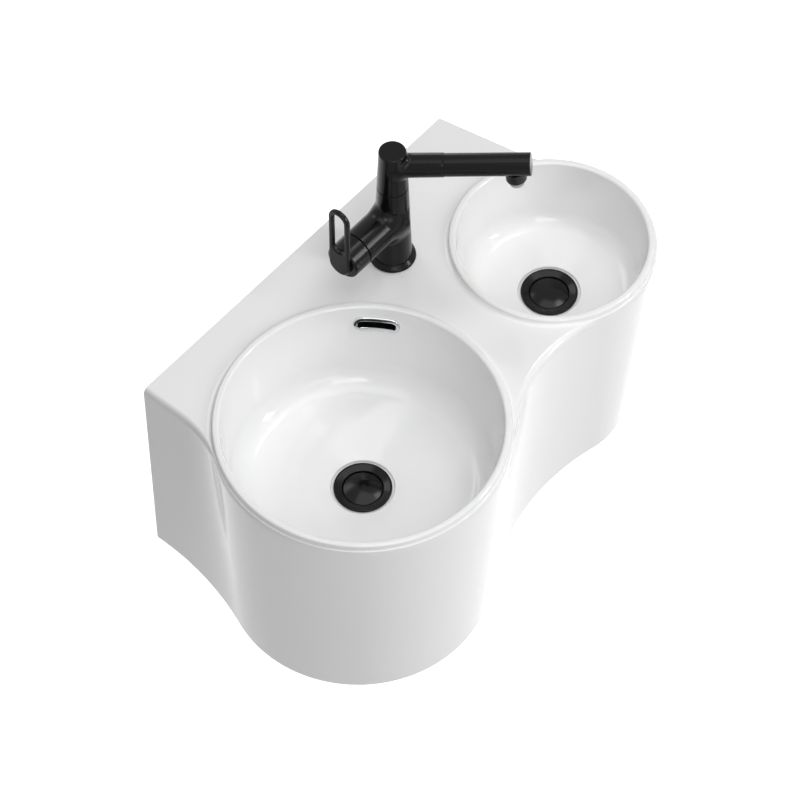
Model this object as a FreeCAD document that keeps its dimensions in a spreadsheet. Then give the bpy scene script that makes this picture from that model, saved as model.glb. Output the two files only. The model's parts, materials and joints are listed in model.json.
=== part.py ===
# Wall-hung double bowl basin with a swivelling side-lever tap, in millimetres.
# Z points up, the wall is the plane Y = 0 and the basin reaches out towards -Y. The origin lies on
# the wall, midway between the two fixing bolts.

import FreeCAD, Part
import Sketcher
import math
import os
from FreeCAD import Vector, Placement, Rotation

doc = FreeCAD.newDocument("double_bowl_wall_basin")

# Driving sizes
SIZE_ROWS = [
    # the moulded basin as a whole
    ("rim_height", 110, "rim plane above the wall bolts"),
    ("rim_proud", 7, "rim plane above the deck"),
    ("basin_height", 299, "rim plane to the foot of the skirt"),
    ("back_right", 256.4, "right back corner from the middle of the wall plate"),
    ("left_edge", 255.5, "left end face from the middle of the wall plate"),
    ("left_run", 50, "straight part of the left end at the deck"),
    ("left_run_foot", 10, "straight part of the left end at the foot"),
    ("right_run", 110, "straight part of the right end at the deck"),
    ("right_splay", 20, "how far the right end leans out over that run"),
    ("right_run_foot", 144, "straight part of the right end at the foot"),
    ("right_splay_foot", 17, "how far it leans out at the foot"),
    ("front_radius", 200, "hollow curve between the bowls at the shoulder"),
    ("front_top_radius", 150, "the same curve at the top of the rounded deck edge"),
    ("front_foot_radius", 300, "the same curve at the foot"),
    ("edge_round", 9, "rounding of the deck edge, downwards"),
    ("end_round", 5, "rounding of the deck edge at the two ends, inwards"),
    ("edge_fade", 1.2, "what is left of that where the walls run straight up into the rims"),
    ("wall", 12, "thickness of the skirt and the wall plate"),
    ("deck", 14, "thickness of the deck"),
    ("through", 6, "how far a cutting shape runs past a face"),
    # the big bowl
    ("big_left", 137.4, "axis of the big bowl, left of the middle"),
    ("big_out", 214.5, "axis of the big bowl, out from the wall"),
    ("big_radius", 156, "inside of the rim"),
    ("big_rim", 163.5, "outside of the rim"),
    ("big_wall", 166.5, "outer wall below the rim"),
    ("big_foot_left", 140.5, "centre of the foot of that wall, left"),
    ("big_foot_out", 209.5, "centre of the foot of that wall, out"),
    ("big_foot", 154, "radius of the foot of that wall"),
    ("big_corner", 143.5, "corner between the wall and the floor of the bowl"),
    ("big_corner_depth", 112, "depth of that corner below the rim"),
    ("big_depth", 125.5, "top of the waste flange below the rim"),
    ("big_bend", 30, "rounding between the wall and the floor"),
    # the small bowl
    ("small_right", 194, "axis of the small bowl, right of the middle"),
    ("small_out", 214, "axis of the small bowl, out from the wall"),
    ("small_radius", 109, "inside of the rim"),
    ("small_rim", 116.8, "outside of the rim"),
    ("small_wall", 119.8, "outer wall below the rim"),
    ("small_foot", 98, "radius of the foot of that wall"),
    ("small_corner", 99.5, "corner between the wall and the floor of the bowl"),
    ("small_corner_depth", 87, "depth of that corner below the rim"),
    ("small_depth", 98.4, "top of the waste flange below the rim"),
    ("small_bend", 24, "rounding between the wall and the floor"),
    # rims, bowl shells and waste seats, alike for both bowls
    ("rim_lip", 2.5, "rounding on the outside of the rim"),
    ("inner_lip", 3, "rounding on the inside of the rim"),
    ("cove", 8, "radius of the cove at the outer foot of the rim"),
    ("cove_margin", 1.1, "foot of the cove inside the outer wall"),
    ("cove_sink", 0.3, "foot of the cove below the deck"),
    ("rim_root", 10, "how far the rim is rooted inwards and downwards"),
    ("shell_top", 13, "top of the bowl shell below the rim"),
    ("shell", 11, "thickness of the bowl shell at its corner"),
    ("shell_gap", 2, "shell inside the outer wall at its top"),
    ("shell_turn", 8, "underside corner of the shell, inwards"),
    ("shell_rise", 10, "outer corner of the shell above the inner one"),
    ("floor_edge", 0.2, "floor of the bowl below the waste flange at the recess"),
    ("recess", 36, "radius of the recess round the waste flange"),
    ("seat_drop", 3.5, "ceramic seat below the top of the waste flange"),
    ("drain_hole", 26, "radius of the hole through the ceramic"),
    ("boss", 46, "radius of the thick ring round the hole"),
    ("boss_drop", 32.5, "underside of that ring below the waste flange"),
    ("boss_shell", 15, "underside of the floor beside the ring"),
    # overflow of the big bowl
    ("slot_depth", 25.5, "middle of the overflow slot below the rim"),
    ("slot_width", 43, "width of the slot"),
    ("slot_high", 9.5, "height of the slot"),
    ("sleeve_width", 46, "outside width of the sleeve in the wall"),
    ("sleeve_high", 12.5, "outside height of the sleeve"),
    ("sleeve_end", 163, "inner end of the sleeve from the bowl axis"),
    ("sleeve_gap", 0.15, "play between sleeve and ceramic"),
    ("ring_width", 53, "width of the overflow ring"),
    ("ring_high", 21, "height of the overflow ring"),
    ("ring_proud", 2.4, "overflow ring above the bowl wall"),
    ("ring_round", 0.9, "rounding of the ring's edge"),
    ("duct_wall", 6, "ceramic round the overflow duct"),
    ("duct_width", 46, "width of the overflow duct"),
    ("duct_gap", 1.5, "duct outside the bowl shell"),
    ("duct", 7, "clear depth of the duct"),
    ("duct_top", 18, "top of the duct below the rim"),
    ("duct_mouth", 24, "inner end of the duct from the bowl axis"),
    ("duct_floor", 4.5, "clear height of the duct at the drain"),
    # wall fixing
    ("bolt_half", 140, "wall bolt from the middle"),
    ("bolt_hole", 7, "radius of a wall bolt hole"),
    ("pipe_gap_half", 150, "half width of the gap for pipes in the wall plate"),
    ("pipe_gap_high", 105, "height of that gap above the foot"),
    ("pipe_gap_round", 20, "rounding of its upper corners"),
    # waste, alike for both bowls; depths are below the top of the flange
    ("flange", 33, "radius of the waste flange"),
    ("flange_edge", 2, "thickness of the flange at its edge"),
    ("flange_round", 1.1, "rounding of the flange edge"),
    ("flange_flat", 30.5, "radius where the dish begins"),
    ("dish", 23.2, "radius of the bottom of the dish"),
    ("dish_step", 2.6, "drop of the sloping part of the dish"),
    ("dish_drop", 7.4, "bottom of the dish"),
    ("cup", 25.2, "outside radius of the cup under the flange"),
    ("cup_drop", 10.4, "underside of the cup"),
    ("neck", 29.5, "radius where the underside of the flange begins to slope"),
    ("neck_drop", 3.4, "that slope at the cup"),
    ("tube", 20.8, "outside radius of the threaded tube"),
    ("tube_bore", 18, "inside radius of the threaded tube"),
    ("tube_drop", 80, "lower end of the tube"),
    ("tail", 20.4, "outside radius of the outlet end of the tube"),
    ("tail_top", 48.5, "upper end of that outlet"),
    ("port_high", 7, "height of an overflow port in the tube"),
    ("port_width", 14, "width of an overflow port in the tube"),
    ("port_drop", 20, "middle of the ports"),
    ("hub", 9.5, "outside radius of the hub in the tube"),
    ("hub_bore", 7.05, "inside radius of the hub"),
    ("hub_top", 29, "top of the hub"),
    ("hub_high", 9, "height of the hub"),
    ("spoke", 3, "width of a spoke"),
    ("click", 7, "radius of the click cartridge"),
    ("click_head", 8.2, "radius of its head on the hub"),
    ("click_top", 27, "top of the click cartridge"),
    ("click_end", 52, "lower end of the click cartridge"),
    ("click_depth", 46, "bottom of the stem bore"),
    ("click_fit", 0.05, "play of the stem in its bore"),
    ("stem", 3.6, "radius of the plug stem"),
    ("stem_end", 42, "lower end of the stem"),
    ("stem_top", 4.5, "upper end of the stem, inside the plug"),
    ("plug", 22.4, "radius of the plug"),
    ("plug_crown", 0.6, "crown of the plug below the flange"),
    ("plug_edge", 3.4, "edge of the crown"),
    ("plug_base", 6.2, "underside of the plug"),
    ("plug_bend", 1.2, "rounding of the plug edge"),
    ("plug_seal_in", 18.4, "inside radius of the plug seal"),
    ("plug_seal_out", 21.6, "outside radius of the plug seal"),
    ("plug_seal_end", 7.05, "underside of the plug seal"),
    ("top_seal_in", 29.8, "inside radius of the seal under the flange"),
    ("top_seal_out", 32.4, "outside radius of the seal under the flange"),
    ("washer_in", 20.9, "inside radius of the lower washer"),
    ("washer_out", 33, "outside radius of the lower washer"),
    ("washer", 6, "thickness of the lower washer"),
    ("washer_taper", 2.5, "bevel of the lower washer"),
    ("backnut_flats", 52, "width across the flats of the back nut"),
    ("backnut", 10, "thickness of the back nut"),
    ("backnut_bore", 20.85, "bore of the back nut"),
    # tap: heights are above the deck, reaches are from the tap's upright axis
    ("tap_right", 63.8, "tap axis, right of the middle"),
    ("tap_out", 88.5, "tap axis, out from the wall"),
    ("tap_hole", 17.5, "radius of the hole in the deck"),
    ("gasket", 1.2, "thickness of the foam gasket"),
    ("gasket_radius", 25.6, "radius of the gasket"),
    ("gasket_bore", 17, "bore of the gasket"),
    ("ring_radius", 26.6, "radius of the foot ring"),
    ("ring_edge", 4.6, "upright edge of the foot ring"),
    ("ring_top", 8.2, "top of the foot ring"),
    ("ring_top_radius", 23.6, "radius of that top"),
    ("ring_bend", 5, "radius of the shoulder of the foot ring"),
    ("ring_bore", 22.4, "bore of the foot ring"),
    ("column_foot", 22.2, "radius of the column at its foot"),
    ("column_neck", 17.9, "radius of the column at the swivel"),
    ("column_top", 15.4, "radius of the column at its top"),
    ("neck_rise", 53.2, "upper face of the fixed body above the axis of the side barrel"),
    ("column_round", 1.6, "rounding of the top edge"),
    ("spigot", 12, "radius of the swivel spigot"),
    ("spigot_long", 25.8, "height of the spigot above the fixed body"),
    ("spigot_bevel", 1, "bevel on the spigot"),
    ("hose_bore", 7, "radius of the hose way through the spigot"),
    ("hose_join_drop", 29.2, "lower end of that way below the upper face of the fixed body"),
    ("hose_way", 6.6, "radius of the hose way below it"),
    ("hose_front", 6.4, "that way in front of the tap axis"),
    ("chamber", 13.6, "radius of the chamber above the shank"),
    ("chamber_drop", 31, "top of that chamber below the axis of the side barrel"),
    ("shank", 16, "radius of the threaded shank"),
    ("shank_bore", 13.5, "bore of the shank"),
    ("shank_in", 13, "upper end of the shank"),
    ("shank_end", 62, "lower end of the shank below the deck"),
    ("fixed_gap", 0.02, "play between parts screwed together"),
    ("inlet_radius", 4.25, "radius of a supply inlet"),
    ("inlet_depth", 12, "depth of a supply inlet"),
    ("inlet_side", 6.6, "supply inlet from the middle, sideways"),
    ("inlet_back", 5.6, "supply inlet from the middle, to the back"),
    ("barrel_height", 71, "axis of the side barrel"),
    ("barrel", 21, "radius of the side barrel"),
    ("barrel_reach", 61, "end of the barrel"),
    ("barrel_root", 18.8, "radius of the barrel at the middle of the column"),
    ("barrel_swell", 26, "where the barrel has its full radius"),
    ("barrel_blend", 11, "fillet between barrel and column"),
    ("cartridge_bore", 17.6, "bore for the cartridge"),
    ("cartridge_start", 20, "inner end of that bore"),
    ("nut_bore", 19, "bore for the cartridge nut"),
    ("nut_start", 52, "inner end of that bore"),
    ("cartridge", 17.5, "radius of the cartridge"),
    ("cartridge_neck", 11, "radius of the neck of the cartridge"),
    ("stem_bore", 5.06, "bore for the lever stem"),
    ("stem_start", 32, "inner end of the stem bore"),
    ("lever_stem", 5, "radius of the lever stem"),
    ("lever_stem_in", 33, "inner end of the lever stem"),
    ("lever_stem_out", 77, "outer end of the lever stem"),
    ("cartridge_nut", 18.95, "radius of the cartridge nut"),
    ("cartridge_nut_bore", 11.3, "bore of the cartridge nut"),
    ("nut_end", 60, "outer end of the cartridge nut"),
    ("nut_notch", 4, "width of a key notch in that nut"),
    ("nut_notch_deep", 3, "depth of a key notch"),
    ("cap_start", 61.4, "inner edge of the lever cap"),
    ("cap_end", 86.5, "outer face of the lever cap"),
    ("cap_hollow", 18.5, "radius of the hollow in the lever cap"),
    ("cap_hollow_end", 68, "bottom of that hollow"),
    ("cap_bore", 5.02, "bore for the stem in the cap"),
    ("cap_round", 2.4, "rounding of the outer edge of the cap"),
    ("grub", 2.5, "radius of the grub screw"),
    ("grub_reach", 73, "grub screw from the tap axis"),
    ("grub_end", 15, "outer end of the grub screw from the barrel axis"),
    ("key", 1.25, "radius of a key socket"),
    ("key_deep", 3, "depth of a key socket"),
    ("loop", 14, "outer radius of the lever loop's ends"),
    ("loop_window", 8, "radius of the window's ends"),
    ("loop_top", 78, "centre of the loop's upper end above the barrel axis"),
    ("loop_window_low", 30, "centre of the window's lower end"),
    ("loop_thick", 5.6, "thickness of the loop"),
    ("loop_round", 2, "rounding of the loop's edges"),
    # swivelling spout
    ("swivel_gap", 0.3, "gap between spout and slide ring"),
    ("slide_ring", 0.9, "thickness of the slide ring"),
    ("slide_ring_out", 17.5, "outside radius of the slide ring"),
    ("slide_ring_in", 12.1, "inside radius of the slide ring"),
    ("swivel_bore", 12.05, "bore of the spout on the spigot"),
    ("swivel_bore_play", 1, "room above the spigot in that bore"),
    ("hose_room", 8, "radius of the room for the hose above it"),
    ("hose_room_over", 13, "top of that room above the arm's axis"),
    ("seal_floor", 10.3, "floor radius of a seal groove"),
    ("seal_width", 2.4, "width of a seal groove"),
    ("seal_start", 4.8, "lower seal groove above the fixed body"),
    ("seal_drop", 5.4, "upper seal groove, its lower edge below the top of the spigot"),
    ("stop_half", 3, "half height of the groove for the holding screw, midway between the seals"),
    ("stop_floor", 9.6, "floor radius of that groove"),
    ("screw", 2.5, "radius of the holding screw"),
    ("screw_tip", 10.2, "inner end of the holding screw"),
    ("screw_out", 16.4, "outer end of the holding screw"),
    ("arm_rise", 9, "the arm's axis at the column above the top of the spigot"),
    ("arm_cover", 24, "top of the column above the arm's axis"),
    ("arm", 13.9, "radius of the arm at its root"),
    ("arm_end", 13.7, "radius of the arm at its mouth"),
    ("arm_reach", 57, "mouth of the arm along its axis"),
    ("arm_bore", 10.6, "bore of the arm"),
    ("arm_blend", 5, "fillet between the arm and the column"),
    ("arm_lip", 0.6, "bevel at the mouth of the arm"),
    # pull-out head; depths are from its axis, downwards
    ("head", 13.1, "radius of the head"),
    ("head_start", 57.4, "inner shoulder of the head"),
    ("head_end", 152.5, "end face of the head"),
    ("head_round", 1.2, "rounding of the end face"),
    ("head_spigot", 10.55, "radius of the head's spigot in the arm"),
    ("head_spigot_in", 37, "inner end of that spigot"),
    ("head_bore", 7.5, "water way in the head"),
    ("head_bore_end", 146, "end of the water way"),
    ("nozzle_reach", 134, "nozzle axis along the head"),
    ("nozzle", 11.7, "outside radius of the nozzle boss and collar"),
    ("nozzle_bore", 10, "bore of the boss"),
    ("boss_end", 15, "lower end of the boss"),
    ("nozzle_floor", 8.6, "upper end of the bore"),
    ("nozzle_way", 5, "radius of the way from the head's bore"),
    ("collar_start", 15.1, "upper end of the collar"),
    ("collar_end", 23.1, "lower end of the collar"),
    ("collar_bore", 9.9, "bore of the collar"),
    ("collar_round", 0.8, "rounding of the collar's lower edge"),
    ("insert", 9.75, "radius of the jet insert"),
    ("insert_start", 10, "upper end of the jet insert"),
    ("insert_end", 31, "lower end of the jet insert"),
    ("insert_tip", 8.6, "radius of the jet insert at its lower end"),
    ("insert_hole", 6.4, "radius of the hole in the jet insert"),
    ("insert_hole_deep", 14, "depth of that hole"),
    ("hose", 6, "radius of the hose"),
    ("hose_core", 3.5, "bore of the hose"),
    ("hose_in", 3, "inner end of the straight hose"),
    ("hose_out", 49, "end of the hose inside the head"),
    ("ferrule", 7.45, "radius of the ferrule on the hose"),
    ("ferrule_in", 38, "inner end of the ferrule"),
    # fixing under the deck
    ("rubber_in", 17.4, "inside radius of the rubber washer"),
    ("rubber_out", 27, "outside radius of both washers"),
    ("rubber", 3, "thickness of the rubber washer"),
    ("steel_in", 16.3, "inside radius of the steel washer"),
    ("steel", 2, "thickness of the steel washer"),
    ("shank_nut_flats", 46, "width across the flats of the shank nut"),
    ("shank_nut", 9, "thickness of the shank nut"),
    ("shank_nut_bore", 16.05, "bore of the shank nut"),
]

# Angles, plain ratios and the closeness at which two lengths count as the same
CLOSE = 0.01
OVERFLOW_TURN = 34.2
SPOUT_TURN = -55.0
SPOUT_TILT = 7.0
CORNER_SHARE = 1 / math.sqrt(3)
FULL_TURN = 360

sheet = doc.addObject("Spreadsheet::Sheet", "Sizes")
for row, (alias, value, remark) in enumerate(SIZE_ROWS, start=1):
    sheet.set("A%d" % row, alias)
    sheet.set("B%d" % row, str(value))
    sheet.set("C%d" % row, remark)
    sheet.setAlias("B%d" % row, alias)
doc.recompute()


class Size:
    """A length together with the formula that ties it to the sheet."""

    def __init__(self, value, text):
        self.value = float(value)
        self.text = text

    def join(self, other, sign, value):
        if isinstance(other, Size):
            return Size(value, "(%s %s %s)" % (self.text, sign, other.text))
        return Size(value, "(%s %s %r)" % (self.text, sign, float(other)))

    def __add__(self, other):
        return self.join(other, "+", self.value + number(other))

    def __sub__(self, other):
        return self.join(other, "-", self.value - number(other))

    def __mul__(self, other):
        return self.join(other, "*", self.value * number(other))

    def __truediv__(self, other):
        return self.join(other, "/", self.value / number(other))

    def __neg__(self):
        return Size(-self.value, "(0 - %s)" % self.text)


def number(thing):
    """The plain number of a Size or of a number."""
    if isinstance(thing, Size):
        return thing.value
    return float(thing)


def root(thing):
    """Square root of a Size."""
    return Size(math.sqrt(thing.value), "sqrt(%s)" % thing.text)


class SizeBook:
    """Every sheet cell under its own name."""


s = SizeBook()
for alias, value, remark in SIZE_ROWS:
    setattr(s, alias, Size(sheet.get(alias), "Sizes.%s" % alias))


# Making sketches, bodies and features
PLANE_AXES = {"XY_Plane": (0, 1, 2), "XZ_Plane": (0, 2, 1), "YZ_Plane": (1, 2, 0)}


def bind(thing, path, size):
    """Tie one property of an object to a Size, when it is one."""
    if isinstance(size, Size):
        thing.setExpression(path, size.text)


def new_body(label, at=(0, 0, 0), turn=None):
    """An empty body, placed at a point and turned."""
    body = doc.addObject("PartDesign::Body", label)
    body.Label = label
    body.Placement = Placement(Vector(*[number(v) for v in at]), turn or Rotation())
    for axis, value in zip("xyz", at):
        bind(body, "Placement.Base.%s" % axis, value)
    return body


def new_sketch(body, name, plane="XZ_Plane", at=(0, 0, 0), turn=None):
    """A sketch on one of the body's own planes, shifted to a point given in the body's axes."""
    sketch = body.newObject("Sketcher::SketchObject", name)
    support = [item for item in body.Origin.OriginFeatures if item.Role == plane][0]
    sketch.AttachmentSupport = [(support, "")]
    sketch.MapMode = "FlatFace"
    across, up, normal = PLANE_AXES[plane]
    shift = [at[across], at[up], at[normal]]
    if plane == "XZ_Plane":
        shift[2] = -shift[2] if isinstance(shift[2], Size) else -float(shift[2])
    sketch.AttachmentOffset = Placement(Vector(*[number(v) for v in shift]), turn or Rotation())
    for axis, value in zip("xyz", shift):
        bind(sketch, "AttachmentOffset.Base.%s" % axis, value)
    return sketch


def pin_point(sketch, geometry, end, point, held):
    """Hold one end of a line or arc at a point."""
    for kind, axis, value in (("DistanceX", -2, point[0]), ("DistanceY", -1, point[1])):
        if number(value) == 0:
            held.append((Sketcher.Constraint("PointOnObject", geometry, end, axis), None))
        else:
            rule = Sketcher.Constraint(kind, -1, 1, geometry, end, number(value))
            held.append((rule, value))


def add_rules(sketch, held):
    """Add constraints and tie the measured ones to the sheet."""
    start = len(sketch.Constraints)
    sketch.addConstraint([rule for rule, value in held])
    for index, (rule, value) in enumerate(held):
        if isinstance(value, Size):
            name = "size_%d" % (start + index)
            sketch.renameConstraint(start + index, name)
            sketch.setExpression("Constraints.%s" % name, value.text)


def arc_between(first, last, radius, side):
    """The short arc from first to last; side +1 turns anticlockwise and -1 clockwise."""
    middle = (first + last) * 0.5
    chord = last - first
    half = chord.Length / 2
    rise = math.sqrt(max(radius * radius - half * half, 0))
    across = Vector(-chord.y, chord.x, 0)
    across.normalize()
    centre = middle + across * (rise * side)
    tail, head = (first, last) if side > 0 else (last, first)
    begin = math.atan2(tail.y - centre.y, tail.x - centre.x)
    finish = math.atan2(head.y - centre.y, head.x - centre.x)
    if finish < begin:
        finish += 2 * math.pi
    return Part.ArcOfCircle(Part.Circle(centre, Vector(0, 0, 1), radius), begin, finish)


def draw_loop(sketch, corners):
    """A closed loop. A corner is (x, y), or (x, y, radius, side) where an arc leads to the next."""
    count = len(corners)
    points = [Vector(number(c[0]), number(c[1]), 0) for c in corners]
    ends = []
    held = []
    for index, corner in enumerate(corners):
        first = points[index]
        last = points[(index + 1) % count]
        if len(corner) == 2:
            line = sketch.addGeometry(Part.LineSegment(first, last), False)
            ends.append((line, 1, 2))
        else:
            arc = sketch.addGeometry(arc_between(first, last, number(corner[2]), corner[3]), False)
            ends.append((arc, 1, 2) if corner[3] > 0 else (arc, 2, 1))
            held.append((Sketcher.Constraint("Radius", arc, number(corner[2])), corner[2]))
    for index in range(count):
        this, after = ends[index], ends[(index + 1) % count]
        rule = Sketcher.Constraint("Coincident", this[0], this[2], after[0], after[1])
        held.append((rule, None))
        pin_point(sketch, this[0], this[1], corners[index], held)
    add_rules(sketch, held)


def draw_circle(sketch, x, y, radius):
    """A circle held by its centre and radius."""
    centre = Vector(number(x), number(y), 0)
    item = sketch.addGeometry(Part.Circle(centre, Vector(0, 0, 1), number(radius)), False)
    held = [(Sketcher.Constraint("Radius", item, number(radius)), radius)]
    pin_point(sketch, item, 3, (x, y), held)
    add_rules(sketch, held)


def draw_box(sketch, left, right, low, high):
    """An upright rectangle."""
    draw_loop(sketch, [(left, low), (right, low), (right, high), (left, high)])


def draw_stadium(sketch, x_first, x_last, y, radius):
    """A slot with round ends, lying along x."""
    draw_loop(sketch, [
        (x_first, y - radius),
        (x_last, y - radius, radius, 1),
        (x_last + radius, y, radius, 1),
        (x_last, y + radius),
        (x_first, y + radius, radius, 1),
        (x_first - radius, y, radius, 1),
    ])


def turn_feature(body, sketch, kind="Revolution", axis="V_Axis", angle=FULL_TURN):
    """Turn a sketch round one of its own axes, adding or cutting."""
    feature = body.newObject("PartDesign::%s" % kind, "%s_%s" % (kind, sketch.Name))
    feature.Profile = sketch
    feature.ReferenceAxis = (sketch, [axis])
    feature.Angle = angle
    doc.recompute()
    return feature


def pad(body, sketch, length, both_ways=False, backwards=False):
    """Pull a sketch out into a solid."""
    feature = body.newObject("PartDesign::Pad", "Pad_%s" % sketch.Name)
    feature.Profile = sketch
    feature.Length = number(length)
    bind(feature, "Length", length)
    feature.Midplane = both_ways
    feature.Reversed = backwards
    doc.recompute()
    return feature


def pocket(body, sketch, length, both_ways=False, backwards=False):
    """Cut a sketch into the solid and make sure that it takes something away."""
    before = body.Shape.Volume
    feature = body.newObject("PartDesign::Pocket", "Pocket_%s" % sketch.Name)
    feature.Profile = sketch
    feature.Length = number(length)
    bind(feature, "Length", length)
    feature.Midplane = both_ways
    feature.Reversed = backwards
    doc.recompute()
    if not body.Shape.Volume < before:
        raise RuntimeError("%s cuts nothing from %s" % (sketch.Name, body.Label))
    return feature


def loft(body, sketches, kind="AdditiveLoft", ruled=True):
    """Join sketches, from first to last, by a smooth or ruled skin."""
    feature = body.newObject("PartDesign::%s" % kind, "%s_%s" % (kind, sketches[0].Name))
    feature.Profile = sketches[0]
    feature.Sections = sketches[1:]
    feature.Ruled = ruled
    doc.recompute()
    return feature


def soften(body, radius, wanted, kind="Fillet"):
    """Round (or bevel) every edge for which wanted(edge) is true."""
    names = ["Edge%d" % (i + 1) for i, edge in enumerate(body.Shape.Edges) if wanted(edge)]
    if not names:
        raise RuntimeError("no edge to soften on %s" % body.Label)
    base = body.Tip
    feature = body.newObject("PartDesign::%s" % kind, "%s_%s_%d" % (kind, body.Name, len(body.Group)))
    feature.Base = (base, names)
    path = "Radius" if kind == "Fillet" else "Size"
    setattr(feature, path, number(radius))
    bind(feature, path, radius)
    doc.recompute()
    return feature


def near(first, last):
    """Whether two lengths are the same to a hundredth."""
    return abs(number(first) - number(last)) < CLOSE


def ring_edge(x, y, z, radius):
    """A test for a level circle of this centre and radius."""
    def test(edge):
        if not isinstance(edge.Curve, Part.Circle):
            return False
        centre = edge.Curve.Center
        same = near(centre.x, x) and near(centre.y, y) and near(centre.z, z)
        return same and near(edge.Curve.Radius, radius)
    return test


def turned(label, corners, at=(0, 0, 0), axis="V_Axis", place=(0, 0, 0), turn=None):
    """A piece turned from one profile. Corners are (radius, height), or (reach, radius) for H_Axis."""
    body = new_body(label, place, turn)
    sketch = new_sketch(body, "%s_profile" % label, "XZ_Plane", at)
    draw_loop(sketch, corners)
    turn_feature(body, sketch, axis=axis)
    return body


# Outline of the basin at one level, seen from above
def basin_outline(body, name, level, form, inset=0, back=0, ends=0):
    """Eight curves: left end, flare, big bowl, hollow front, small bowl, flare, right end, back.
    inset shrinks all of it evenly, ends only draws in the two end faces."""
    big_x, big_y, big_r = -form["big"][0], -form["big"][1], form["big"][2] - inset
    small_x, small_y, small_r = form["small"][0], -form["small"][1], form["small"][2] - inset
    front = form["front"] + inset
    run, splay = form["run"], form["splay"]
    slant = root(run * run + splay * splay)
    side = s.end_round * ends + inset if ends else inset
    left = -s.left_edge + side
    right = s.back_right - slant * side / run + splay * back / run
    right_x = s.back_right + splay - run * side / slant
    right_y = -run - splay * side / slant
    left_y = -form["left_run"]
    flat = Vector(0, 0, 1)
    mid_big = Vector(big_x.value, big_y.value, 0)
    mid_small = Vector(small_x.value, small_y.value, 0)
    low_left = Vector(number(left), left_y.value, 0)
    low_right = Vector(right_x.value, right_y.value, 0)
    out_left = Vector(-1, 0, 0)
    out_right = Vector(run.value, splay.value, 0)
    out_right.normalize()

    def flare(point, outwards, middle, radius):
        gap = point - middle
        return (gap.dot(gap) - radius * radius) / (2 * (radius - outwards.dot(gap)))

    left_flare = flare(low_left, out_left, mid_big, number(big_r))
    right_flare = flare(low_right, out_right, mid_small, number(small_r))
    mid_left = low_left + out_left * left_flare
    mid_right = low_right + out_right * right_flare
    far_big = number(big_r) + number(front)
    far_small = number(small_r) + number(front)
    line = mid_small - mid_big
    span = line.Length
    line.normalize()
    along = (far_big ** 2 - far_small ** 2 + span ** 2) / (2 * span)
    away = math.sqrt(far_big ** 2 - along ** 2)
    mid_front = mid_big + line * along + Vector(line.y, -line.x, 0) * away

    def meet(middle, radius, other):
        way = other - middle
        way.normalize()
        return middle + way * number(radius)

    at_left = meet(mid_big, big_r, mid_left)
    big_end = meet(mid_big, big_r, mid_front)
    small_start = meet(mid_small, small_r, mid_front)
    at_right = meet(mid_small, small_r, mid_right)
    back_left = Vector(number(left), -number(back), 0)
    back_right = Vector(right.value, -number(back), 0)
    sketch = new_sketch(body, name, "XY_Plane", (0, 0, level))

    def arc(middle, radius, first, last):
        begin = math.atan2(first.y - middle.y, first.x - middle.x)
        finish = math.atan2(last.y - middle.y, last.x - middle.x)
        if finish < begin:
            finish += 2 * math.pi
        circle = Part.Circle(middle, flat, number(radius))
        return sketch.addGeometry(Part.ArcOfCircle(circle, begin, finish), False)

    def line_to(first, last):
        return sketch.addGeometry(Part.LineSegment(first, last), False)

    left_line = line_to(back_left, low_left)
    left_arc = arc(mid_left, left_flare, at_left, low_left)
    big_arc = arc(mid_big, big_r, at_left, big_end)
    front_arc = arc(mid_front, front, small_start, big_end)
    small_arc = arc(mid_small, small_r, small_start, at_right)
    right_arc = arc(mid_right, right_flare, low_right, at_right)
    right_line = line_to(low_right, back_right)
    back_line = line_to(back_right, back_left)
    held = []
    joints = [(left_line, 2, left_arc, 2), (left_arc, 1, big_arc, 1), (big_arc, 2, front_arc, 2),
              (front_arc, 1, small_arc, 1), (small_arc, 2, right_arc, 2), (right_arc, 1, right_line, 1)]
    for first, first_end, last, last_end in joints:
        held.append((Sketcher.Constraint("Tangent", first, first_end, last, last_end), None))
    held.append((Sketcher.Constraint("Coincident", right_line, 2, back_line, 1), None))
    held.append((Sketcher.Constraint("Coincident", back_line, 2, left_line, 1), None))
    held.append((Sketcher.Constraint("Vertical", left_line), None))
    back_level = -back if isinstance(back, Size) else 0
    pin_point(sketch, left_line, 1, (left, back_level), held)
    held.append((Sketcher.Constraint("DistanceY", -1, 1, left_line, 2, left_y.value), left_y))
    pin_point(sketch, right_line, 2, (right, back_level), held)
    pin_point(sketch, right_line, 1, (right_x, right_y), held)
    pin_point(sketch, big_arc, 3, (big_x, big_y), held)
    pin_point(sketch, small_arc, 3, (small_x, small_y), held)
    held.append((Sketcher.Constraint("Radius", big_arc, number(big_r)), big_r))
    held.append((Sketcher.Constraint("Radius", small_arc, number(small_r)), small_r))
    held.append((Sketcher.Constraint("Radius", front_arc, number(front)), front))
    add_rules(sketch, held)
    return sketch


top_form = {"big": (s.big_left, s.big_out, s.big_wall), "small": (s.small_right, s.small_out, s.small_wall),
            "front": s.front_radius, "run": s.right_run, "splay": s.right_splay, "left_run": s.left_run}
foot_form = {"big": (s.big_foot_left, s.big_foot_out, s.big_foot),
             "small": (s.small_right, s.small_out, s.small_foot), "front": s.front_foot_radius,
             "run": s.right_run_foot, "splay": s.right_splay_foot, "left_run": s.left_run_foot}

deck_level = s.rim_height - s.rim_proud
foot_level = s.rim_height - s.basin_height
big_axis = (-s.big_left, -s.big_out, s.rim_height)
small_axis = (s.small_right, -s.small_out, s.rim_height)
big_drain = (-s.big_left, -s.big_out, s.rim_height - s.big_depth)
small_drain = (s.small_right, -s.small_out, s.rim_height - s.small_depth)

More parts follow.
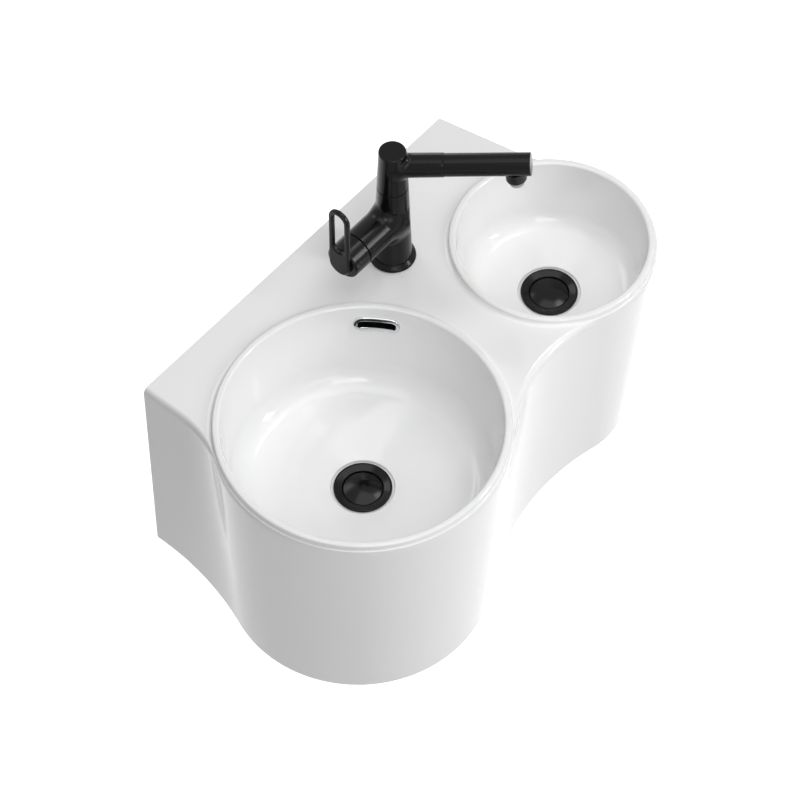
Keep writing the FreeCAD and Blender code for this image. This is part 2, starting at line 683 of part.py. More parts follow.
# The ceramic: skirt, rounded deck, rims, hollow underside, bowls and overflow duct
basin = new_body("ceramic_basin")
shoulder = basin_outline(basin, "shoulder_outline", deck_level - s.edge_round, top_form)
foot = basin_outline(basin, "foot_outline", foot_level, foot_form)
loft(basin, [shoulder, foot])

STEPS = 3
rounded = []
for step in range(STEPS + 1):
    angle = math.radians(90 * (STEPS - step) / STEPS)
    inward_share = 1 - math.cos(angle)
    level = deck_level - s.edge_round * (1 - math.sin(angle))
    form = dict(top_form)
    form["front"] = s.front_radius - (s.front_radius - s.front_top_radius) * inward_share
    rounded.append(basin_outline(basin, "deck_outline_%d" % step, level, form,
                                 inset=s.edge_fade * inward_share, ends=inward_share))
loft(basin, rounded, ruled=False)


def rim_ring(name, axis, inside, rim, outer):
    """A raised rim: flat top, rounded outer edge and a cove down to the deck."""
    sketch = new_sketch(basin, name, "XZ_Plane", axis)
    draw_loop(sketch, [
        (inside - s.rim_root, -s.rim_root - s.rim_proud),
        (inside - s.rim_root, 0),
        (rim - s.rim_lip, 0, s.rim_lip, -1),
        (rim, -s.rim_lip, s.cove, 1),
        (outer - s.cove_margin, -s.rim_proud - s.cove_sink),
    ])
    turn_feature(basin, sketch)


rim_ring("big_rim_profile", big_axis, s.big_radius, s.big_rim, s.big_wall)
rim_ring("small_rim_profile", small_axis, s.small_radius, s.small_rim, s.small_wall)

under_deck = basin_outline(basin, "hollow_top", deck_level - s.deck, top_form, inset=s.wall, back=s.wall)
under_foot = basin_outline(basin, "hollow_foot", foot_level, foot_form, inset=s.wall, back=s.wall)
loft(basin, [under_deck, under_foot], kind="SubtractiveLoft")


def bowl_shell(name, axis, outer, corner, corner_depth, depth):
    """The underside of a bowl, with a thick ring round its drain."""
    sketch = new_sketch(basin, name, "XZ_Plane", axis)
    draw_loop(sketch, [
        (0, -s.shell_top),
        (outer - s.shell_gap, -s.shell_top),
        (corner + s.shell, s.shell_rise - corner_depth),
        (corner - s.shell_turn, -corner_depth - s.boss_shell),
        (s.boss, -depth - s.boss_shell),
        (s.boss, -depth - s.boss_drop),
        (0, -depth - s.boss_drop),
    ])
    turn_feature(basin, sketch)


bowl_shell("big_shell", big_axis, s.big_wall, s.big_corner, s.big_corner_depth, s.big_depth)
bowl_shell("small_shell", small_axis, s.small_wall, s.small_corner, s.small_corner_depth, s.small_depth)

# The overflow duct runs down behind the big bowl from the slot to the drain
radial = Rotation(Vector(0, 1, 0), OVERFLOW_TURN)
duct_box = new_sketch(basin, "duct_jacket", "XZ_Plane", big_axis, radial)
shell_x = s.big_wall - s.shell_gap + s.duct_gap
corner_x = s.big_corner + s.shell + s.duct_gap
corner_z = s.shell_rise - s.big_corner_depth
turn_x = s.big_corner - s.shell_turn
turn_z = -s.big_corner_depth - s.boss_shell
boss_z = -s.big_depth - s.boss_drop
draw_loop(duct_box, [
    (s.boss - s.duct_wall, boss_z),
    (turn_x + s.duct_wall, turn_z - s.duct - s.duct_wall),
    (corner_x + s.duct + s.duct_wall, corner_z),
    (shell_x + s.duct + s.duct_wall, -s.duct_top),
    (s.big_radius, -s.duct_top),
    (s.big_corner, -s.big_corner_depth),
    (s.boss - s.duct_wall, -s.big_depth - s.seat_drop),
])
pad(basin, duct_box, s.duct_width + s.duct_wall + s.duct_wall, both_ways=True)

duct_way = new_sketch(basin, "duct_way", "XZ_Plane", big_axis, radial)
draw_loop(duct_way, [
    (s.duct_mouth, boss_z + s.duct_wall),
    (s.boss, boss_z + s.duct_wall),
    (turn_x, turn_z - s.duct),
    (corner_x + s.duct, corner_z),
    (shell_x + s.duct, -s.duct_top - s.duct_wall),
    (shell_x, -s.duct_top - s.duct_wall),
    (corner_x, corner_z),
    (turn_x, turn_z - s.duct_gap),
    (s.boss, boss_z + s.duct_wall + s.duct_floor),
    (s.duct_mouth, boss_z + s.duct_wall + s.duct_floor),
])
pocket(basin, duct_way, s.duct_width, both_ways=True)


def bowl_hollow(name, axis, inside, corner, corner_depth, depth, bend):
    """The inside of a bowl, its drain hole and the softened corners."""
    sketch = new_sketch(basin, name, "XZ_Plane", axis)
    draw_loop(sketch, [
        (0, s.through),
        (0, -depth - s.boss_drop - s.through),
        (s.drain_hole, -depth - s.boss_drop - s.through),
        (s.drain_hole, -depth - s.seat_drop),
        (s.recess, -depth - s.seat_drop),
        (s.recess, -depth - s.floor_edge),
        (corner, -corner_depth),
        (inside, 0),
        (inside, s.through),
    ])
    turn_feature(basin, sketch, kind="Groove")
    floor_z = axis[2] - corner_depth
    soften(basin, bend, ring_edge(axis[0], axis[1], floor_z, corner))
    soften(basin, s.inner_lip, ring_edge(axis[0], axis[1], axis[2], inside))


bowl_hollow("big_hollow", big_axis, s.big_radius, s.big_corner, s.big_corner_depth, s.big_depth, s.big_bend)
bowl_hollow("small_hollow", small_axis, s.small_radius, s.small_corner, s.small_corner_depth,
            s.small_depth, s.small_bend)

# Tap hole, wall bolts, the gap for the pipes and the overflow slot
tap_hole = new_sketch(basin, "tap_hole", "XY_Plane", (0, 0, deck_level))
draw_circle(tap_hole, s.tap_right, -s.tap_out, s.tap_hole)
pocket(basin, tap_hole, s.deck + s.through)
bolts = new_sketch(basin, "wall_bolt_holes", "XZ_Plane", (0, 0, 0))
draw_circle(bolts, -s.bolt_half, 0, s.bolt_hole)
draw_circle(bolts, s.bolt_half, 0, s.bolt_hole)
pocket(basin, bolts, s.wall + s.through, backwards=True)
gap_top = foot_level + s.pipe_gap_high
gap = new_sketch(basin, "pipe_gap", "XZ_Plane", (0, 0, 0))
draw_loop(gap, [
    (-s.pipe_gap_half, foot_level - s.through),
    (s.pipe_gap_half, foot_level - s.through),
    (s.pipe_gap_half, gap_top - s.pipe_gap_round, s.pipe_gap_round, 1),
    (s.pipe_gap_half - s.pipe_gap_round, gap_top),
    (-s.pipe_gap_half + s.pipe_gap_round, gap_top, s.pipe_gap_round, 1),
    (-s.pipe_gap_half, gap_top - s.pipe_gap_round),
])
pocket(basin, gap, s.wall + s.through, backwards=True)

# The slot is drawn on a plane that faces the bowl axis
tangential = Rotation(Vector(0, 1, 0), OVERFLOW_TURN + 90)


def draw_slot(sketch, width, high):
    """A lying slot with round ends, centred on the sketch's upright axis."""
    radius = high / 2
    half = width / 2 - radius
    draw_stadium(sketch, -half, half, -s.slot_depth, radius)


slot = new_sketch(basin, "overflow_slot", "XZ_Plane", big_axis, tangential)
draw_slot(slot, s.sleeve_width + s.sleeve_gap * 2, s.sleeve_high + s.sleeve_gap * 2)
pocket(basin, slot, shell_x + s.duct / 2, backwards=True)


# The overflow ring follows the curve of the bowl wall and holds a sleeve in the slot
ring = new_body("overflow_ring", big_axis, Rotation(Vector(0, 0, 1), OVERFLOW_TURN))
ring_face = new_sketch(ring, "ring_face", "YZ_Plane", (s.big_corner, 0, 0))
draw_slot(ring_face, s.ring_width, s.ring_high)
pad(ring, ring_face, s.sleeve_end - s.big_corner)
behind = new_sketch(ring, "ring_behind", "XZ_Plane")
draw_loop(behind, [
    (-s.big_radius, 0),
    (-s.big_corner, -s.big_corner_depth),
    (-s.sleeve_end - s.through, -s.big_corner_depth),
    (-s.sleeve_end - s.through, 0),
])
turn_feature(ring, behind, kind="Groove")
sleeve = new_sketch(ring, "ring_sleeve", "YZ_Plane", (s.big_corner, 0, 0))
draw_slot(sleeve, s.sleeve_width, s.sleeve_high)
pad(ring, sleeve, s.sleeve_end - s.big_corner)
before = new_sketch(ring, "ring_before", "XZ_Plane")
draw_loop(before, [
    (0, 0),
    (0, -s.big_corner_depth),
    (s.ring_proud - s.big_corner, -s.big_corner_depth),
    (s.ring_proud - s.big_radius, 0),
])
turn_feature(ring, before, kind="Groove")
mouth = new_sketch(ring, "ring_mouth", "YZ_Plane", (s.sleeve_end + s.through, 0, 0))
draw_slot(mouth, s.slot_width, s.slot_high)
pocket(ring, mouth, s.sleeve_end)


def on_ring_front(edge):
    """Whether an edge goes round the front of the ring, towards the bowl."""
    if isinstance(edge.Curve, Part.Line):
        return False
    lean = (s.big_radius.value - s.big_corner.value) / s.big_corner_depth.value
    for vertex in edge.Vertexes:
        x = vertex.X - big_axis[0].value
        y = vertex.Y - big_axis[1].value
        depth = big_axis[2].value - vertex.Z
        wall_here = s.big_radius.value - s.ring_proud.value - depth * lean
        if not near(math.hypot(x, y), wall_here):
            return False
    return True


soften(ring, s.ring_round, on_ring_front)


def hex_nut(label, place, low, thickness, flats, bore):
    """A nut with bevelled corners, its lower face at the given height."""
    body = new_body(label, place)
    corner = flats * CORNER_SHARE
    sketch = new_sketch(body, "%s_flats" % label, "XY_Plane", (0, 0, low))
    draw_loop(sketch, [
        (corner, 0),
        (corner / 2, flats / 2),
        (-corner / 2, flats / 2),
        (-corner, 0),
        (-corner / 2, -flats / 2),
        (corner / 2, -flats / 2),
    ])
    draw_circle(sketch, 0, 0, bore)
    pad(body, sketch, thickness)
    bevel = new_sketch(body, "%s_bevel" % label, "XZ_Plane", (0, 0, low))
    draw_loop(bevel, [
        (flats / 2, 0),
        (corner + s.through, 0),
        (corner + s.through, (corner + s.through - flats / 2) * CORNER_SHARE),
    ])
    turn_feature(body, bevel, kind="Groove")
    return body


def make_waste(name, drain):
    """A press-to-open waste. Heights are measured down from the top of its flange."""
    body = turned("%s_waste_body" % name, [
        (s.tube_bore, -s.tube_drop),
        (s.tail, -s.tube_drop),
        (s.tail, -s.tail_top),
        (s.tube, -s.tail_top),
        (s.tube, -s.cup_drop),
        (s.cup, -s.cup_drop),
        (s.cup, -s.neck_drop),
        (s.neck, -s.flange_edge),
        (s.flange, -s.flange_edge),
        (s.flange, -s.flange_round, s.flange_round, 1),
        (s.flange - s.flange_round, 0),
        (s.flange_flat, 0),
        (s.dish, -s.dish_step),
        (s.dish, -s.dish_drop),
        (s.tube_bore, -s.dish_drop),
    ], place=drain)
    ports = new_sketch(body, "%s_ports" % name, "XZ_Plane")
    draw_box(ports, -s.port_width / 2, s.port_width / 2, -s.port_drop - s.port_high / 2,
             -s.port_drop + s.port_high / 2)
    pocket(body, ports, (s.tube + s.through) * 2, both_ways=True)
    bar = new_sketch(body, "%s_spoke" % name, "XY_Plane", (0, 0, -s.hub_top - s.hub_high))
    middle = (s.tube + s.tube_bore) / 2
    draw_box(bar, s.hub_bore, middle, -s.spoke / 2, s.spoke / 2)
    spoke = pad(body, bar, s.hub_high)
    spokes = body.newObject("PartDesign::PolarPattern", "%s_spokes" % name)
    spokes.Originals = [spoke]
    spokes.Axis = (bar, ["N_Axis"])
    spokes.Angle = FULL_TURN
    spokes.Occurrences = 3
    body.Tip = spokes
    doc.recompute()
    hub = new_sketch(body, "%s_hub" % name, "XY_Plane", (0, 0, -s.hub_top - s.hub_high))
    draw_circle(hub, 0, 0, s.hub)
    draw_circle(hub, 0, 0, s.hub_bore)
    pad(body, hub, s.hub_high)

    turned("%s_flange_seal" % name, [
        (s.top_seal_in, -s.seat_drop),
        (s.top_seal_out, -s.seat_drop),
        (s.top_seal_out, -s.flange_edge),
        (s.top_seal_in, -s.flange_edge),
    ], place=drain)
    washer_end = -s.boss_drop - s.washer
    turned("%s_lower_washer" % name, [
        (s.washer_in, washer_end),
        (s.washer_out - s.washer_taper, washer_end),
        (s.washer_out, washer_end + s.washer_taper),
        (s.washer_out, -s.boss_drop),
        (s.washer_in, -s.boss_drop),
    ], place=drain)
    hex_nut("%s_back_nut" % name, drain, washer_end - s.backnut, s.backnut, s.backnut_flats, s.backnut_bore)
    turned("%s_click_cartridge" % name, [
        (0, -s.click_end),
        (s.click, -s.click_end),
        (s.click, -s.hub_top),
        (s.click_head, -s.hub_top),
        (s.click_head, -s.click_top),
        (s.stem + s.click_fit, -s.click_top),
        (s.stem + s.click_fit, -s.click_depth),
        (0, -s.click_depth),
    ], place=drain)
    turned("%s_plug_stem" % name, [
        (0, -s.stem_end),
        (s.stem, -s.stem_end),
        (s.stem, -s.stem_top),
        (0, -s.stem_top),
    ], place=drain)
    dome = s.plug - s.plug_bend
    dome_drop = s.plug_edge - s.plug_crown
    dome_radius = (dome * dome + dome_drop * dome_drop) / (dome_drop * 2)
    turned("%s_plug" % name, [
        (0, -s.plug_crown, dome_radius, -1),
        (dome, -s.plug_edge, s.plug_bend, -1),
        (s.plug, -s.plug_edge - s.plug_bend),
        (s.plug, -s.plug_base),
        (s.stem + s.fixed_gap, -s.plug_base),
        (s.stem + s.fixed_gap, -s.stem_top),
        (0, -s.stem_top),
    ], place=drain)
    turned("%s_plug_seal" % name, [
        (s.plug_seal_in, -s.plug_seal_end),
        (s.plug_seal_out, -s.plug_seal_end),
        (s.plug_seal_out, -s.plug_base),
        (s.plug_seal_in, -s.plug_base),
    ], place=drain)


make_waste("big", big_drain)
make_waste("small", small_drain)

# The fixed part of the tap, with heights above the deck
tap_foot = (s.tap_right, -s.tap_out, deck_level)
turned("tap_gasket", [
    (s.gasket_bore, 0),
    (s.gasket_radius, 0),
    (s.gasket_radius, s.gasket),
    (s.gasket_bore, s.gasket),
], place=tap_foot)
turned("tap_foot_ring", [
    (s.ring_bore, s.gasket),
    (s.ring_radius, s.gasket),
    (s.ring_radius, s.ring_edge, s.ring_bend, 1),
    (s.ring_top_radius, s.ring_top),
    (s.ring_bore, s.ring_top),
], place=tap_foot)
chamber_height = s.barrel_height - s.chamber_drop
swivel_height = s.barrel_height + s.neck_rise
spigot_top = swivel_height + s.spigot_long
hose_join = swivel_height - s.hose_join_drop
seal_low = swivel_height + s.seal_start
seal_high = spigot_top - s.seal_drop
stop_height = (seal_low + s.seal_width + seal_high) / 2
tap_body = turned("tap_body", [
    (s.shank + s.fixed_gap, s.gasket),
    (s.column_foot, s.gasket),
    (s.column_neck, swivel_height),
    (s.spigot, swivel_height),
    (s.spigot, spigot_top - s.spigot_bevel),
    (s.spigot - s.spigot_bevel, spigot_top),
    (s.hose_bore, spigot_top),
    (s.hose_bore, hose_join),
    (0, hose_join),
    (0, chamber_height),
    (s.chamber, chamber_height),
    (s.chamber, s.shank_in),
    (s.shank + s.fixed_gap, s.shank_in),
], place=tap_foot)
swell_rise = s.barrel - s.barrel_root
swell_radius = (s.barrel_swell * s.barrel_swell + swell_rise * swell_rise) / (swell_rise * 2)
side_barrel = new_sketch(tap_body, "side_barrel", "XZ_Plane", (0, 0, s.barrel_height))
draw_loop(side_barrel, [
    (-s.barrel_reach, 0),
    (-s.barrel_reach, s.barrel),
    (-s.barrel_swell, s.barrel, swell_radius, -1),
    (0, s.barrel_root),
    (0, 0),
])
turn_feature(tap_body, side_barrel, axis="H_Axis")


def is_joint_curve(edge):
    """Whether an edge is the curve where two round shapes meet."""
    plain = isinstance(edge.Curve, (Part.Circle, Part.Line))
    return not plain


soften(tap_body, s.barrel_blend, is_joint_curve)
room = new_sketch(tap_body, "cartridge_room", "XZ_Plane", (0, 0, s.barrel_height))
draw_loop(room, [
    (-s.barrel_reach - s.through, 0),
    (-s.barrel_reach - s.through, s.nut_bore),
    (-s.nut_start, s.nut_bore),
    (-s.nut_start, s.cartridge_bore),
    (-s.cartridge_start, s.cartridge_bore),
    (-s.cartridge_start, 0),
])
turn_feature(tap_body, room, kind="Groove", axis="H_Axis")
grooves = new_sketch(tap_body, "spigot_grooves", "XZ_Plane")
for floor, low, high in ((s.seal_floor, seal_low, seal_low + s.seal_width),
                         (s.stop_floor, stop_height - s.stop_half, stop_height + s.stop_half),
                         (s.seal_floor, seal_high, seal_high + s.seal_width)):
    draw_box(grooves, floor, s.column_neck, low, high)
turn_feature(tap_body, grooves, kind="Groove")
hose_way = new_sketch(tap_body, "hose_way", "XY_Plane", (0, 0, chamber_height))
draw_circle(hose_way, 0, -s.hose_front, s.hose_way)
pocket(tap_body, hose_way, hose_join - chamber_height + s.through, backwards=True)
inlets = new_sketch(tap_body, "supply_inlets", "XY_Plane", (0, 0, chamber_height))
draw_circle(inlets, -s.inlet_side, s.inlet_back, s.inlet_radius)
draw_circle(inlets, s.inlet_side, s.inlet_back, s.inlet_radius)
pocket(tap_body, inlets, s.inlet_depth, backwards=True)

turned("threaded_shank", [
    (s.shank_bore, -s.shank_end),
    (s.shank, -s.shank_end),
    (s.shank, s.shank_in),
    (s.shank_bore, s.shank_in),
], place=tap_foot)
turned("rubber_washer", [
    (s.rubber_in, -s.deck - s.rubber),
    (s.rubber_out, -s.deck - s.rubber),
    (s.rubber_out, -s.deck),
    (s.rubber_in, -s.deck),
], place=tap_foot)
steel_low = -s.deck - s.rubber - s.steel
turned("steel_washer", [
    (s.steel_in, steel_low),
    (s.rubber_out, steel_low),
    (s.rubber_out, -s.deck - s.rubber),
    (s.steel_in, -s.deck - s.rubber),
], place=tap_foot)
hex_nut("shank_nut", tap_foot, steel_low - s.shank_nut, s.shank_nut, s.shank_nut_flats, s.shank_nut_bore)
slide_top = swivel_height + s.slide_ring
turned("slide_ring", [
    (s.slide_ring_in, swivel_height),
    (s.slide_ring_out, swivel_height),
    (s.slide_ring_out, slide_top),
    (s.slide_ring_in, slide_top),
], place=tap_foot)
for name, low in (("lower_swivel_seal", seal_low), ("upper_swivel_seal", seal_high)):
    seal = new_body(name, tap_foot)
    section = new_sketch(seal, "%s_section" % name, "XZ_Plane")
    draw_circle(section, (s.seal_floor + s.spigot) / 2, low + s.seal_width / 2, (s.spigot - s.seal_floor) / 2)
    turn_feature(seal, section)

# Cartridge and lever on the barrel, with reaches towards -X from the tap axis
barrel_axis = (s.tap_right, -s.tap_out, deck_level + s.barrel_height)
turned("mixing_cartridge", [
    (-s.cartridge_start - s.fixed_gap, 0),
    (-s.cartridge_start - s.fixed_gap, s.cartridge),
    (-s.nut_start, s.cartridge),
    (-s.nut_start, s.cartridge_neck),
    (-s.nut_end, s.cartridge_neck),
    (-s.nut_end, s.stem_bore),
    (-s.stem_start, s.stem_bore),
    (-s.stem_start, 0),
], axis="H_Axis", place=barrel_axis)
holder = turned("cartridge_nut", [
    (-s.nut_start - s.fixed_gap, s.cartridge_nut_bore),
    (-s.nut_start - s.fixed_gap, s.cartridge_nut),
    (-s.nut_end, s.cartridge_nut),
    (-s.nut_end, s.cartridge_nut_bore),
], axis="H_Axis", place=barrel_axis)
notch = new_sketch(holder, "key_notches", "YZ_Plane", (-s.nut_end, 0, 0))
draw_box(notch, -s.cartridge_nut, s.cartridge_nut, -s.nut_notch / 2, s.nut_notch / 2)
pocket(holder, notch, s.nut_notch_deep, backwards=True)
turned("lever_stem", [
    (-s.lever_stem_in, 0),
    (-s.lever_stem_in, s.lever_stem),
    (-s.lever_stem_out, s.lever_stem),
    (-s.lever_stem_out, 0),
], axis="H_Axis", place=barrel_axis)
lever_cap = turned("lever_cap", [
    (-s.cap_start, s.cap_hollow),
    (-s.cap_start, s.barrel),
    (-s.cap_end, s.barrel),
    (-s.cap_end, 0),
    (-s.lever_stem_out - s.fixed_gap, 0),
    (-s.lever_stem_out - s.fixed_gap, s.cap_bore),
    (-s.cap_hollow_end, s.cap_bore),
    (-s.cap_hollow_end, s.cap_hollow),
], axis="H_Axis", place=barrel_axis)
cap_face = barrel_axis[0] - s.cap_end
soften(lever_cap, s.cap_round, ring_edge(cap_face, barrel_axis[1], barrel_axis[2], s.barrel))
grub_hole = new_sketch(lever_cap, "grub_hole", "XY_Plane", (0, 0, 0))
draw_circle(grub_hole, -s.grub_reach, 0, s.grub)
pocket(lever_cap, grub_hole, s.barrel)
grub = new_body("lever_screw", barrel_axis)
grub_end = new_sketch(grub, "grub_end", "XY_Plane", (0, 0, -s.grub_end))
draw_circle(grub_end, -s.grub_reach, 0, s.grub)
pad(grub, grub_end, s.grub_end - s.cap_bore)
grub_key = new_sketch(grub, "grub_key", "XY_Plane", (0, 0, -s.grub_end))
draw_circle(grub_key, -s.grub_reach, 0, s.key)
pocket(grub, grub_key, s.key_deep, backwards=True)

loop = new_body("lever_loop", barrel_axis)
loop_form = new_sketch(loop, "loop_form", "YZ_Plane", (-s.cap_end, 0, 0))


def upright_stadium(sketch, low, high, radius):
    """An upright slot with round ends."""
    draw_loop(sketch, [
        (radius, low),
        (radius, high, radius, 1),
        (0, high + radius, radius, 1),
        (-radius, high),
        (-radius, low, radius, 1),
        (0, -radius + low, radius, 1),
    ])


upright_stadium(loop_form, 0, s.loop_top, s.loop)
upright_stadium(loop_form, s.loop_window_low, s.loop_top, s.loop_window)
pad(loop, loop_form, s.loop_thick, backwards=True)


def level_with_face(edge):
    """Whether an edge lies in the front or back plane of the loop."""
    return edge.BoundBox.XLength < CLOSE


soften(loop, s.loop_round, level_with_face)

# The swivelling column with its arm
swing = Rotation(Vector(0, 0, 1), SPOUT_TURN)
spout_low = slide_top + s.swivel_gap
arm_height = spigot_top + s.arm_rise
column_height = arm_height + s.arm_cover
swivel_bore_top = spigot_top + s.swivel_bore_play
hose_room_top = arm_height + s.hose_room_over
spout = turned("spout", [
    (0, spout_low),
    (s.column_neck, spout_low),
    (s.column_top, column_height),
    (0, column_height),
], place=tap_foot, turn=swing)
lift = Rotation(Vector(0, 0, 1), SPOUT_TILT)
arm = new_sketch(spout, "arm", "XZ_Plane", (0, 0, arm_height), lift)
draw_loop(arm, [
    (0, 0),
    (0, s.arm),
    (s.arm_reach - s.arm_lip, s.arm_end),
    (s.arm_reach, s.arm_end - s.arm_lip),
    (s.arm_reach, 0),
])
turn_feature(spout, arm, axis="H_Axis")
soften(spout, s.arm_blend, is_joint_curve)
column_end = deck_level + column_height
soften(spout, s.column_round, ring_edge(tap_foot[0], tap_foot[1], column_end, s.column_top))
column_hollow = new_sketch(spout, "column_hollow", "XZ_Plane")
draw_loop(column_hollow, [
    (0, swivel_height),
    (s.swivel_bore, swivel_height),
    (s.swivel_bore, swivel_bore_top),
    (s.hose_room, swivel_bore_top),
    (s.hose_room, hose_room_top),
    (0, hose_room_top),
])
turn_feature(spout, column_hollow, kind="Groove")
arm_hollow = new_sketch(spout, "arm_hollow", "XZ_Plane", (0, 0, arm_height), lift)
draw_loop(arm_hollow, [
    (0, 0),
    (0, s.arm_bore),
    (s.arm_reach + s.through, s.arm_bore),
    (s.arm_reach + s.through, 0),
])
turn_feature(spout, arm_hollow, kind="Groove", axis="H_Axis")
screw_hole = new_sketch(spout, "screw_hole", "YZ_Plane", (-s.screw_tip, 0, 0))
draw_circle(screw_hole, 0, stop_height, s.screw)
pocket(spout, screw_hole, s.column_neck)
screw = new_body("spout_screw", tap_foot, swing)
screw_end = new_sketch(screw, "screw_end", "YZ_Plane", (-s.screw_out, 0, 0))
draw_circle(screw_end, 0, stop_height, s.screw)
pad(screw, screw_end, s.screw_out - s.screw_tip)
screw_key = new_sketch(screw, "screw_key", "YZ_Plane", (-s.screw_out, 0, 0))
draw_circle(screw_key, 0, stop_height, s.key)
pocket(screw, screw_key, s.key_deep, backwards=True)

# The pull-out head, drawn along X and lifted with the arm; depths are measured down from its axis
head_root = (s.tap_right, -s.tap_out, deck_level + arm_height)
head_turn = swing.multiply(Rotation(Vector(0, 1, 0), -SPOUT_TILT))
head = turned("spray_head", [
    (s.head_spigot_in, 0),
    (s.head_spigot_in, s.head_spigot),
    (s.head_start, s.head_spigot),
    (s.head_start, s.head),
    (s.head_end, s.head),
    (s.head_end, 0),
], axis="H_Axis", place=head_root, turn=head_turn)
nozzle_boss = new_sketch(head, "nozzle_boss", "XY_Plane", (0, 0, -s.boss_end))
draw_circle(nozzle_boss, s.nozzle_reach, 0, s.nozzle)
pad(head, nozzle_boss, s.boss_end)
face_middle = head.Placement.multVec(Vector(s.head_end.value, 0, 0))
soften(head, s.head_round, ring_edge(face_middle.x, face_middle.y, face_middle.z, s.head))
water_way = new_sketch(head, "water_way", "XZ_Plane")
draw_loop(water_way, [
    (s.head_spigot_in - s.through, 0),
    (s.head_spigot_in - s.through, s.head_bore),
    (s.head_bore_end, s.head_bore),
    (s.head_bore_end, 0),
])
turn_feature(head, water_way, kind="Groove", axis="H_Axis")
nozzle_room = new_sketch(head, "nozzle_room", "XY_Plane", (0, 0, -s.boss_end))
draw_circle(nozzle_room, s.nozzle_reach, 0, s.nozzle_bore)
pocket(head, nozzle_room, s.boss_end - s.nozzle_floor, backwards=True)
nozzle_way = new_sketch(head, "nozzle_way", "XY_Plane", (0, 0, -s.nozzle_floor))
draw_circle(nozzle_way, s.nozzle_reach, 0, s.nozzle_way)
pocket(head, nozzle_way, s.nozzle_floor, backwards=True)
turned("nozzle_collar", [
    (s.collar_bore, -s.collar_end),
    (s.nozzle - s.collar_round, -s.collar_end, s.collar_round, 1),
    (s.nozzle, -s.collar_end + s.collar_round),
    (s.nozzle, -s.collar_start),
    (s.collar_bore, -s.collar_start),
], at=(s.nozzle_reach, 0, 0), place=head_root, turn=head_turn)
turned("jet_insert", [
    (s.insert_hole, -s.insert_end),
    (s.insert_tip, -s.insert_end),
    (s.insert, -s.collar_end),
    (s.insert, -s.insert_start),
    (0, -s.insert_start),
    (0, -s.insert_end + s.insert_hole_deep),
    (s.insert_hole, -s.insert_end + s.insert_hole_deep),
], at=(s.nozzle_reach, 0, 0), place=head_root, turn=head_turn)
turned("head_hose", [
    (s.hose_in, s.hose_core),
    (s.hose_in, s.hose),
    (s.ferrule_in, s.hose),
    (s.ferrule_in, s.ferrule),
    (s.hose_out, s.ferrule),
    (s.hose_out, s.hose_core),
], axis="H_Axis", place=head_root, turn=head_turn)

# Check everything, then write one file for each piece
doc.recompute()
faults = []
for item in doc.Objects:
    if "Invalid" in item.State or "Error" in item.State:
        faults.append("%s: %s" % (item.Name, item.State))
pieces = [item for item in doc.Objects if item.TypeId == "PartDesign::Body"]
for piece in pieces:
    if piece.Shape.isNull() or not piece.Shape.isValid():
        faults.append("%s has no valid shape" % piece.Label)
if faults:
    raise RuntimeError("; ".join(faults))

os.makedirs("parts", exist_ok=True)
for piece in pieces:
    piece.Shape.exportStep("parts/%s.step" % piece.Label)
print("%d pieces written" % len(pieces))
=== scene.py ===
# %% [markdown]
# # A wall-hung basin with two round bowls and a side-lever tap
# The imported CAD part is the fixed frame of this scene. This file dresses it: each piece that shows is
# modelled again with finer surfaces, as a maker would shape it, and every surface gets a finish made of
# nodes. Lengths are written in millimetres, as on a workshop drawing, and one function turns them into
# metres. Only the camera and the lamps, which stand far off, are placed in metres.

# %% Load the frame
import json
import math
import bmesh
import bpy
import numpy as np
from mathutils import Matrix, Vector


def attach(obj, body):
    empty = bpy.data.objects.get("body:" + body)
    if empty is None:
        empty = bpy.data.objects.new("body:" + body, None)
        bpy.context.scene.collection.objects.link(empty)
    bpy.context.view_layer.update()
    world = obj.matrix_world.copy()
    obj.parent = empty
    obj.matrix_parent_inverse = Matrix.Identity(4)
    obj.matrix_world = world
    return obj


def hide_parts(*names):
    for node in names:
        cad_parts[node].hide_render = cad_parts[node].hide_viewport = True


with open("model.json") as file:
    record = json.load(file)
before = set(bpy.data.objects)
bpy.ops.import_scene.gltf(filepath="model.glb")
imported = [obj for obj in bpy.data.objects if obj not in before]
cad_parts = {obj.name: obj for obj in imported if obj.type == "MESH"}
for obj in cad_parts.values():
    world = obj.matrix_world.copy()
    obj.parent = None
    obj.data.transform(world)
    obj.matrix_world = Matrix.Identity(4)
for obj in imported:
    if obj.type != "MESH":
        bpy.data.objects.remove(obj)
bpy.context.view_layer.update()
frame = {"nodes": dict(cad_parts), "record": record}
print("pieces in the frame:", len(frame["nodes"]))

# %% Lengths and places
UP = Vector((0, 0, 1))
FORWARDS = Vector((0, -1, 0))


def mm(*lengths):
    """One length, or a place, from millimetres to metres."""
    if len(lengths) == 1:
        return lengths[0] / 1000
    return Vector(lengths) / 1000


DECK = 103
RIM = 110
FOOT = -189
CEILING = 89
WALL = 12
BIG = Vector((-137.4, -214.5))
SMALL = Vector((194, -214))
TAP = Vector((63.8, -88.5))
TAP_FOOT = mm(TAP.x, TAP.y, DECK)
BARREL_HEIGHT = 71
BARREL_AXIS = TAP_FOOT + UP * mm(BARREL_HEIGHT)
print("tap foot at", tuple(round(v, 4) for v in TAP_FOOT))

# %% [markdown]
# ## The camera
# The photograph was taken from the front left and well above, with a long lens, so upright edges stay
# nearly parallel. The camera is turned from the direction in which it looks back: one vector gives its
# place and tilt.

# %% Set up the camera
AZIMUTH = math.radians(-49.91)
ELEVATION = math.radians(54.26)
DISTANCE = 4.015
AIM = Vector((-0.0886, -0.2276, 0.110))
FOCAL_LENGTH = 165.4

